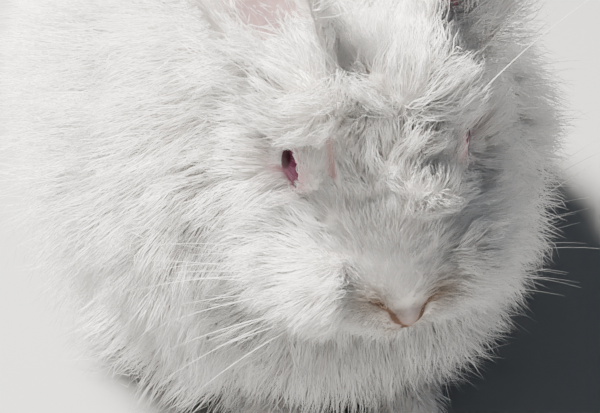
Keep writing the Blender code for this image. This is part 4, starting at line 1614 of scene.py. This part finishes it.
@dataclass
class CoatPatch:
    """The strands of one patch of the coat, made into one piece.

    A strand's middle line leans from lean_root to lean_tip along its length. Lines are drawn
    towards the line of a guide, and the guides towards those of fewer guides, so that they end in tufts.
    """

    name: str
    places: np.ndarray
    normals: np.ndarray
    growth: Growth
    tufting: Tufting
    random: np.random.Generator
    stray: float = 0.10
    guide_sway: float = 16
    strand_sway: float = 9
    guides_to_a_wide_one: int = 7
    root_depth: float = 0.0008
    short_by_eye: float = 0.0020
    clear_of_parting: float = 0.0008
    uv_patch: float = 0.003

    def _lines(self, rows: np.ndarray, sway: float) -> np.ndarray:
        """Middle lines: root + length * the running sum of cos(lean) normal + sin(lean) lie.

        Args:
            rows: indices of the roots.
            sway: spread, in degrees, of the turn of each lie about its normal.

        Returns:
            (N, rings + 1, 3) places from root to tip.
        """
        growth, random, rings = self.growth, self.random, self.tufting.rings
        normal, pull = self.normals[rows], growth.pull[rows]
        turn = np.radians(sway) * random.standard_normal((len(rows), 1))
        lie = np.cos(turn) * pull + np.sin(turn) * np.cross(normal, pull)
        middle = (np.arange(rings) + 0.5) / rings
        shift = np.radians(7) * random.standard_normal((len(rows), 1))
        lean = growth.lean_root[rows, None] + shift
        lean = lean + (growth.lean_tip - growth.lean_root)[rows, None] * middle**0.8
        ahead = np.cos(lean)[..., None] * normal[:, None] + np.sin(lean)[..., None] * lie[:, None]
        length = growth.length[rows] * random.uniform(0.72, 1.12, len(rows))
        line = np.cumsum(ahead, axis=1) * (length / rings)[:, None, None]
        line = np.concatenate([np.zeros((len(rows), 1, 3)), line], axis=1)
        return line + (self.places[rows] - self.root_depth * normal)[:, None]

    def _gathered(self, lines: np.ndarray, guides: np.ndarray, strength: np.ndarray) -> np.ndarray:
        """Lines drawn towards their guides by strength * t to the power 1.25."""
        t = np.linspace(0, 1, self.tufting.rings + 1)[None, :, None] ** 1.25
        return lines + (guides - lines) * t * strength[:, None, None]

    def _tufted(self) -> tuple[np.ndarray, np.ndarray, np.ndarray]:
        """The middle lines of all strands, their widths, and a shade for each tuft."""
        random, count, tufting = self.random, len(self.places), self.tufting
        guide_rows = random.permutation(count)[: max(count // tufting.tuft, 1)]
        guides = self._lines(guide_rows, self.guide_sway)
        wide_rows = np.arange(len(guide_rows))[: max(len(guide_rows) // self.guides_to_a_wide_one, 1)]
        wide = nearest(self.places[guide_rows], self.places[guide_rows[wide_rows]])
        guides = self._gathered(guides, guides[wide], np.full(len(guides), tufting.bunch))
        own = nearest(self.places, self.places[guide_rows])
        strength = tufting.gather * random.uniform(0.75, 1.15, count)
        strays = random.random(count) < self.stray
        strength[strays] *= 0.25
        lines = self._gathered(self._lines(np.arange(count), self.strand_sway), guides[own], strength)
        t = np.linspace(0, 1, tufting.rings + 1)[None, :, None]
        waves, start = random.uniform(0.6, 2.0, (count, 1, 1)), random.random((count, 1, 1))
        wave = np.sin(2 * math.pi * (t * waves + start))
        size = tufting.frizz * self.growth.length * np.where(strays, 1.8, 1.0)
        lines = lines + unit(random.standard_normal((count, 1, 3))) * wave * t * size[:, None, None]
        width = self.growth.width * random.uniform(0.75, 1.25, count) * np.where(strays, 0.6, 1.0)
        shade = np.clip(random.random(len(guide_rows))[own] * 0.8 + 0.2 * random.random(count), 0, 1)
        return lines, width, shade

    def _clear_of_eyes(self, lines: np.ndarray, anatomy: Anatomy) -> np.ndarray:
        """Shortens strands that would hide an eye or the parting, as their places come too near.

        Args:
            lines: (N, K, 3) middle lines.
            anatomy: the animal.

        Returns:
            The lines, with those that would hide one drawn back to short_by_eye.
        """
        local = anatomy.in_head(lines.reshape(-1, 3)).reshape(lines.shape)
        blocked = np.zeros(len(lines), bool)
        for side in Side:
            mirror = np.array([side.value, 1.0, 1.0])
            for sight in SIGHTS:
                ray = unit(np.array(sight.way)) * mirror
                gap = local - (np.array(EYE_PLACE) + np.array(sight.place)) * mirror
                along = gap @ ray
                aside = np.linalg.norm(gap - along[..., None] * ray, axis=-1)
                hides = (aside < sight.radius + sight.widening * along) & (along > 0.0) & (along < 0.05)
                blocked |= np.any(hides, axis=1)
        aside = from_line(local.reshape(-1, 3), PARTING_LINE).reshape(local.shape[:2])
        blocked |= np.any(aside < self.clear_of_parting, axis=1)
        length = np.linalg.norm(np.diff(lines, axis=1), axis=-1).sum(axis=1)
        share = np.where(blocked, np.minimum(1.0, self.short_by_eye / length), 1.0)
        return drawn_back(lines, share)

    def _within_reach(self, lines: np.ndarray) -> np.ndarray:
        """Draws back strands that pass the widest place of the coat."""
        root = np.abs(lines[:, 0, 0])
        over = np.maximum(np.abs(lines[..., 0]).max(axis=1) - root, 1e-6)
        return drawn_back(lines, np.clip((WOOL_REACH - root) / over, 0.0, 1.0))

    def build(self, anatomy: Anatomy) -> Piece:
        """Makes the patch: each strand a closed, flattened three-sided bar that narrows to its tip.

        Args:
            anatomy: the animal, for its eyes and bare skin.

        Returns:
            The piece, with the map OFBake and the masks tip, shade, pink, and stain with painted shade
            in the parting.
        """
        lines, width, shade = self._tufted()
        lines = self._within_reach(self._clear_of_eyes(lines, anatomy))
        places, normals = self.places, self.normals
        lines[..., 2] = np.maximum(lines[..., 2], WOOL_ABOVE_GROUND)
        count, rings = len(lines), self.tufting.rings
        t = np.arange(rings) / rings
        ahead = unit(np.diff(lines, axis=1))
        tilted = normals[:, None] + 0.35 * self.random.standard_normal((count, 1, 3))
        side = unit(np.cross(ahead, tilted))
        up = np.cross(side, ahead)
        half = width[:, None, None] / 2 * (1.0 - 0.75 * t**1.6)[None, :, None]
        base = lines[:, :rings]
        ring = np.stack([base - side * half, base + side * half, base + up * half * 0.8], axis=2)
        verts = np.concatenate([ring.reshape(count, -1, 3), lines[:, rings:]], axis=1)
        tris = strand_triangles(rings)
        each = 3 * rings + 1
        tris = (tris[None] + each * np.arange(count)[:, None, None]).reshape(-1, 3)
        along = np.append(np.repeat(t, 3), 1.0)
        beside = np.append(np.tile([0.0, 1.0, 0.5], rings), 0.5)
        patch = self.uv_patch * np.stack([beside, along], 1)
        uv = self._unwrapped(places)[:, None] + patch[None]
        bare = bare_masks(anatomy, places)
        masks = {"tip": np.tile(along, count), "shade": np.repeat(shade, each)}
        masks["pink"] = (bare["pink"][:, None] * (0.55 - 0.45 * along)).ravel()
        # The wool takes the stains near the nose and the painted shade of the parting's fold
        masks["stain"] = (bare["stain"][:, None] * (1.0 - 0.35 * along)).ravel()
        log.info("%s: %d strands, %d triangles", self.name, count, len(tris))
        return mesh_piece(self.name, verts.reshape(-1, 3), tris, uv.reshape(-1, 2), masks)

    def _unwrapped(self, places: np.ndarray) -> np.ndarray:
        """Where roots lie on an unwrap of the skin: (angle round the patch's long axis, way along).

        Args:
            places: (N, 3) roots.

        Returns:
            (N, 2) places between 0 and 1.
        """
        middle = places.mean(0)
        gap = places - middle
        facing = unit(self.normals.mean(0) + [0.0, 0.0, 1e-3])
        level = [0.0, 1.0, 0.0] if abs(facing[1]) < 0.9 else [1.0, 0.0, 0.0]
        first = unit(np.cross(level, facing))
        second = np.cross(facing, first)
        depth = np.abs(gap @ facing).max() + 0.05
        angle = np.arctan2(gap @ first, gap @ facing + depth)
        flat = np.stack([angle, gap @ second], 1)
        low, high = flat.min(0), flat.max(0)
        return 0.01 + 0.97 * (flat - low) / (high - low + 1e-9)


def strand_triangles(rings: int) -> np.ndarray:
    """The triangles of one strand with three points in each ring and one at its tip.

    Args:
        rings: how many rings it has.

    Returns:
        (F, 3) corner indices, turned outward.
    """
    made = [(0, 2, 1)]
    for k in range(rings - 1):
        for j in range(3):
            a, b = 3 * k + j, 3 * k + (j + 1) % 3
            made += [(a, b, b + 3), (a, b + 3, a + 3)]
    last, tip = 3 * (rings - 1), 3 * rings
    made += [(last + j, last + (j + 1) % 3, tip) for j in range(3)]
    return np.array(made)


@dataclass
class Coat:
    """The whole coat, in patches that follow the parts of the body."""

    anatomy: Anatomy
    surface: Surface
    ears: Tufting = Tufting(3, 14, 0.62, 0.05, 0.3)
    muzzle: Tufting = Tufting(3, 18, 0.46, 0.08, 0.35)
    forehead: Tufting = Tufting(4, 28, 0.60, 0.12, 0.5)
    cheeks: Tufting = Tufting(4, 22, 0.60, 0.09, 0.45)
    feet: Tufting = Tufting(3, 14, 0.55, 0.05, 0.3)
    tail: Tufting = Tufting(3, 18, 0.60, 0.07, 0.35)
    neck: Tufting = Tufting(3, 22, 0.52, 0.09, 0.4)
    trunk: Tufting = Tufting(3, 20, 0.42, 0.09, 0.35)
    front: Tufting = Tufting(4, 20, 0.42, 0.09, 0.35)
    muzzle_ends_y: float = -0.018
    forehead_starts_z: float = 0.006
    middle_starts_y: float = -0.005
    rear_starts_y: float = 0.060
    least_root_height: float = 0.0025
    fewest_strands: int = 20
    seed: int = 11

    def __post_init__(self) -> None:
        """Sets the roots all over the skin."""
        self.lie = LieOfTheCoat(self.anatomy)
        surface = self.surface
        density = self.lie.at(surface.middle, surface.facing).density
        density = density * (surface.middle[:, 2] > self.least_root_height)
        self.places, self.normals = surface.roots(density, np.random.default_rng(self.seed))
        self.growth = self.lie.at(self.places, self.normals)

    def _members(self) -> dict[str, np.ndarray]:
        """For each part of the body, which roots are nearer to its surface than to any other's."""
        places, anatomy = self.places, self.anatomy
        levels = {"head": anatomy.skull.level(places), "neck": anatomy.neck.level(places)}
        levels["torso"] = anatomy.torso.level(places)
        levels["tail"] = anatomy.tail.level(places)
        for side, thigh in anatomy.thighs.items():
            levels[f"haunch_{side.word}"] = thigh.level(places)
        levels["feet"] = np.min([body.level(places) for body in self.lie.feet], axis=0)
        closest = np.argmin(np.abs(np.stack(list(levels.values()))), axis=0)
        return {word: closest == index for index, word in enumerate(levels)}

    def _plans(self) -> list[tuple[str, Tufting, np.ndarray]]:
        """Every patch's name and tufting, with the roots it claims; the first to claim a root has it."""
        anatomy, places = self.anatomy, self.places
        x, y, _ = anatomy.in_body(places).T
        head_x, head_y, head_z = anatomy.in_head(places).T
        member = self._members()
        head = member["head"]
        made = []
        for side, ear in anatomy.ears.items():
            made.append((f"ear_{side.word}", self.ears, ear.holds(places)))
        made.append(("muzzle", self.muzzle, head & (head_y < self.muzzle_ends_y)))
        made.append(("forehead", self.forehead, head & (head_z > self.forehead_starts_z)))
        for side in Side:
            made.append((f"cheek_{side.word}", self.cheeks, head & (side.value * head_x >= 0)))
        made.append(("feet", self.feet, member["feet"]))
        made.append(("tail", self.tail, member["tail"]))
        in_front, behind = y < self.middle_starts_y, y >= self.rear_starts_y
        for side in Side:
            own, word = side.value * x >= 0, side.word
            made.append((f"neck_{word}", self.neck, member["neck"] & own))
            made.append((f"haunch_{word}", self.trunk, member[f"haunch_{word}"]))
            made.append((f"front_{word}", self.front, own & in_front))
            made.append((f"middle_{word}", self.trunk, own & ~in_front & ~behind))
            made.append((f"rear_{word}", self.trunk, own & behind))
        return made

    def build(self) -> list[Piece]:
        """Makes every patch of the coat."""
        taken = np.zeros(len(self.places), bool)
        pieces = []
        for index, (name, tufting, claim) in enumerate(self._plans()):
            rows = np.flatnonzero(claim & ~taken)
            taken |= claim
            if len(rows) < self.fewest_strands:
                continue
            own = Growth(*(getattr(self.growth, growing.name)[rows] for growing in fields(Growth)))
            random = np.random.default_rng(index)
            places, normals = self.places[rows], self.normals[rows]
            patch = CoatPatch(f"coat_{name}", places, normals, own, tufting, random)
            pieces.append(patch.build(self.anatomy))
        log.info("coat: %d triangles", sum(len(piece.data.polygons) for piece in pieces))
        return pieces


@dataclass
class Eye:
    """An eyeball with a raised clear front, its gaze outward and up in the head's frame."""

    side: Side
    anatomy: Anatomy
    gaze: Point = (0.88, 0.08, 0.42)
    flattened: float = 0.985
    bulge: float = 0.035
    bulge_angle: float = 0.62
    rings: int = 40
    points: int = 48

    def build(self) -> Piece:
        """Makes the eye: rings about the axis of its gaze, the front bulged by a narrow bell curve."""
        mirror = np.array([self.side.value, 1, 1])
        centre = np.array(self.anatomy.eye_centre(self.side))
        gaze = unit(np.array(self.gaze) * mirror) @ turn_of(self.anatomy.head).T
        first = unit(np.cross(gaze, [0.0, 0.0, 1.0]))
        second = np.cross(gaze, first)
        v = np.linspace(0.02, 0.98, self.rings)[:, None] * math.pi
        angle = np.linspace(0, 2 * math.pi, self.points, endpoint=False)
        radius = EYE_RADIUS * (self.flattened + self.bulge * np.exp(-((v / self.bulge_angle) ** 2)))
        flat = radius * np.sin(v)
        grid = (
            (radius * np.cos(v))[..., None] * gaze
            + (flat * np.cos(angle))[..., None] * first
            + (flat * np.sin(angle))[..., None] * second
            + centre
        )
        verts, tris = closed_grid(grid)
        away = np.repeat(v.ravel(), self.points)
        masks = {
            "away": np.append(away, [0.0, math.pi]) / 1.05,
            "turn": np.append(np.tile(np.abs(angle - math.pi) / math.pi, self.rings), [0.0, 0.0]),
        }
        return mesh_piece(f"eyeball_{self.side.word}", verts, tris, masks=masks)


def bars(lines: np.ndarray, radius: np.ndarray, sides: int) -> tuple[np.ndarray, np.ndarray]:
    """Closed round bars along many lines at once: circles of their radius across the way ahead.

    Args:
        lines: (N, K, 3) middle lines.
        radius: (N, K) half widths.
        sides: points in each ring.

    Returns:
        Places and triangles of all the bars.
    """
    ahead = unit(np.gradient(lines, axis=1))
    side = unit(np.cross(ahead, [0.13, 0.21, 0.97]))
    up = np.cross(side, ahead)
    angle = np.linspace(0, 2 * math.pi, sides, endpoint=False)
    ring = side[:, :, None] * np.cos(angle)[:, None] + up[:, :, None] * np.sin(angle)[:, None]
    grids = lines[:, :, None] + ring * radius[:, :, None, None]
    verts, tris = zip(*(closed_grid(grid) for grid in grids))
    each = len(verts[0])
    return np.vstack(verts), np.vstack([t + each * k for k, t in enumerate(tris)])


@dataclass
class Whiskers:
    """Long pale whiskers in rows on the pads of the muzzle, and two above each eye.

    A row has whiskers from the lowest up: first is the place of the first one, next_up is the step to
    the next in its row and next_row the step to the row behind, all in the head's frame.
    """

    anatomy: Anatomy
    rows: int = 3
    in_row: int = 5
    first: Point = (0.0150, -0.0440, -0.0130)
    next_up: Point = (0.0012, 0.0018, 0.0026)
    next_row: Point = (0.0, 0.0022, -0.0016)
    way: Point = (1.0, 0.05, -0.35)
    way_up: Point = (0.0, 0.13, 0.17)
    brow_places: Line = ((0.0190, -0.0030, 0.0210), (0.0200, 0.0060, 0.0220))
    brow_ways: Line = ((0.8, 0.5, 0.95), (0.9, 0.7, 0.85))
    length: float = 0.058
    radius: float = 0.00016
    steps: int = 14
    seed: int = 7

    def _lines(self, side: Side, random: np.random.Generator) -> np.ndarray:
        """The middle lines on one side: they leave the pad outward and sag by a square of the way.

        Args:
            side: which side.
            random: source of their spread.

        Returns:
            (N, steps, 3) places.
        """
        mirror = np.array([side.value, 1.0, 1.0])
        count = self.rows * self.in_row
        up, row = (np.arange(count) % self.in_row)[:, None], (np.arange(count) // self.in_row)[:, None]
        step_back, step_up = np.array(self.next_row) * row, np.array(self.next_up) * up
        place = (np.array(self.first) + step_back + step_up) * mirror
        heading = (np.array(self.way) + np.array(self.way_up) * up) * mirror
        heading = unit(heading + 0.10 * random.standard_normal((count, 3)))
        place = np.vstack([place, self.brow_places * mirror])
        heading = np.vstack([heading, unit(self.brow_ways * mirror)])
        t = np.linspace(0, 1, self.steps)[None, :, None]
        length = self.length * random.uniform(0.75, 1.2, (len(place), 1, 1))
        start = placed(place, self.anatomy.head)
        ahead = heading @ turn_of(self.anatomy.head).T
        line = start[:, None] + ahead[:, None] * length * t
        line[..., 2] -= (length * (0.10 + 0.18 * random.random((len(place), 1, 1))) * t**2)[..., 0]
        return line

    def build(self) -> Piece:
        """Makes all whiskers as thin tapered bars."""
        random = np.random.default_rng(self.seed)
        line = np.vstack([self._lines(side, random) for side in Side])
        taper = self.radius * (1.0 - 0.85 * np.linspace(0, 1, self.steps) ** 1.5)
        return mesh_piece("whiskers", *bars(line, np.tile(taper, (len(line), 1)), 4))


@dataclass
class Claws:
    """Four pale claws on each foot, most of each hidden in the wool."""

    anatomy: Anatomy
    length: float = 0.0085
    radius: float = 0.0013
    ahead_of_toe: float = 0.006
    height: float = 0.0066
    splay: float = 0.12
    droop: float = 0.0040

    def build(self) -> Piece:
        """Makes the claws: tapered bars bent down by a square of the way along."""
        t = np.linspace(0, 1, 10)
        lines = []
        for side in Side:
            for foot in self.anatomy.feet:
                for step in foot.from_middle():
                    y = foot.toes_y - self.ahead_of_toe + abs(step) * foot.toe_set_back
                    start = np.array([foot.x * side.value + step * foot.toe_step, y, self.height])
                    line = start + np.outer(t, [self.splay * step, -1.0, 0.0]) * self.length
                    line[:, 2] -= self.droop * t**2
                    lines.append(line + np.array(self.anatomy.moved.translation))
        radius = np.tile(self.radius * (1.0 - 0.88 * t**1.4), (len(lines), 1))
        return mesh_piece("claws", *bars(np.array(lines), radius, 10))


@dataclass(frozen=True)
class Lamp:
    """A square soft lamp that faces the animal."""

    name: str
    place: Point
    size: float
    power: float
    tint: Colour
    aim: Point = (0, -0.02, 0.08)

    def hang(self) -> None:
        """Puts the lamp in the scene."""
        lamp = bpy.data.lights.new(self.name, "AREA")
        lamp.size, lamp.energy, lamp.color = self.size, self.power, self.tint
        held = bpy.data.objects.new(self.name, lamp)
        held.location = self.place
        held.rotation_euler = (Vector(self.aim) - Vector(self.place)).to_track_quat("-Z", "Y").to_euler()
        bpy.context.scene.collection.objects.link(held)


@dataclass
class Studio:
    """The floor, the lights and the camera, whose angles are in degrees and whose lens is in mm."""

    azimuth: float = -9.6
    elevation: float = 29.8
    distance: float = 0.4413
    target: Point = (0.002, -0.0191, 0.0379)
    lens: float = 54.3
    sensor_width: float = 36.0
    floor_reach: float = 8.0
    sky: Colour = (0.66, 0.78, 1.0)
    sky_strength: float = 0.14
    key: Lamp = Lamp("key", (-1.24, 0.62, 2.44), 0.68, 830.0, (1.0, 0.965, 0.91))
    fill: Lamp = Lamp("fill", (0.75, -1.0, 0.70), 1.2, 2.0, (0.80, 0.88, 1.0))

    def _floor(self) -> None:
        """Lays the floor under the animal."""
        reach = np.array([-self.floor_reach, self.floor_reach])
        corners = np.array([[x, y, 0.0] for x in reach for y in reach])
        floor = mesh_piece("floor", corners, np.array([[0, 2, 3], [0, 3, 1]]))
        floor.data.materials.append(FloorFinish().material())

    def _world(self) -> None:
        """Gives the studio its faint sky."""
        world = bpy.data.worlds.new("studio")
        world.use_nodes = True
        background = world.node_tree.nodes["Background"]
        background.inputs["Color"].default_value = (*self.sky, 1.0)
        background.inputs["Strength"].default_value = self.sky_strength
        bpy.context.scene.world = world

    def _camera(self) -> None:
        """Sets the camera up, its way back from the target at (sin a cos e, -cos a cos e, sin e)."""
        camera = bpy.data.cameras.new("camera")
        camera.lens, camera.sensor_width, camera.sensor_fit = self.lens, self.sensor_width, "HORIZONTAL"
        camera.clip_start = 0.01
        held = bpy.data.objects.new("camera", camera)
        azimuth, elevation = math.radians(self.azimuth), math.radians(self.elevation)
        sideways = math.sin(azimuth) * math.cos(elevation)
        backward = -math.cos(azimuth) * math.cos(elevation)
        back = Vector((sideways, backward, math.sin(elevation)))
        held.location = Vector(self.target) + back * self.distance
        held.rotation_euler = back.to_track_quat("Z", "Y").to_euler()
        bpy.context.scene.collection.objects.link(held)
        bpy.context.scene.camera = held

    def build(self) -> None:
        """Sets up the whole studio."""
        self._floor()
        self._world()
        self.key.hang()
        self.fill.hang()
        self._camera()


@dataclass
class Rabbit:
    """The whole animal: skin, eyes, coat, whiskers and claws."""

    anatomy: Anatomy = field(default_factory=Anatomy)

    def _dress(self, piece: Piece, material: bpy.types.Material, slot: str) -> Piece:
        """Gives a piece its material and fixes it to the animal.

        Args:
            piece: the piece.
            material: its finish.
            slot: not used.

        Returns:
            The same piece.
        """
        piece.data.materials.clear()
        piece.data.materials.append(material)
        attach(piece, "root")
        log.info("%s: %d faces", piece.name, len(piece.data.polygons))
        return piece

    def build(self) -> None:
        """Makes every piece."""
        skin = self._dress(Skin(self.anatomy).build(), SkinFinish().material(), "wool")
        pairs = [f"{part}_{side.word}" for part in ("ear", "foreleg", "hindleg") for side in Side]
        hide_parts("head", "neck", "torso", "tail", *pairs)
        eye_finish = EyeFinish().material()
        for side in Side:
            eyeball = self._dress(Eye(side, self.anatomy).build(), eye_finish, "eye")
            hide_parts(f"eye_{side.word}")
        wool_finish = WoolFinish().material()
        # The names coat_rear_left and coat_rear_right hold the letters ear, so they are passed the slot
        # ear too
        for piece in Coat(self.anatomy, Surface(skin)).build():
            self._dress(piece, wool_finish, "ear" if "ear" in piece.name else "wool")
        whisker = HornFinish("whisker_horn", (0.88, 0.87, 0.84), (0.70, 0.68, 0.64), 0.35)
        self._dress(Whiskers(self.anatomy).build(), whisker.material(), "wool")
        claw = HornFinish("claw_horn", (0.74, 0.62, 0.52), (0.50, 0.38, 0.30), 0.3)
        self._dress(Claws(self.anatomy).build(), claw.material(), "wool")


def main() -> None:
    """Builds the rabbit and its studio."""
    logging.basicConfig(level=logging.INFO, format="%(message)s")
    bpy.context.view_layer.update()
    Rabbit().build()
    Studio().build()


if __name__ == "__main__":
    main()
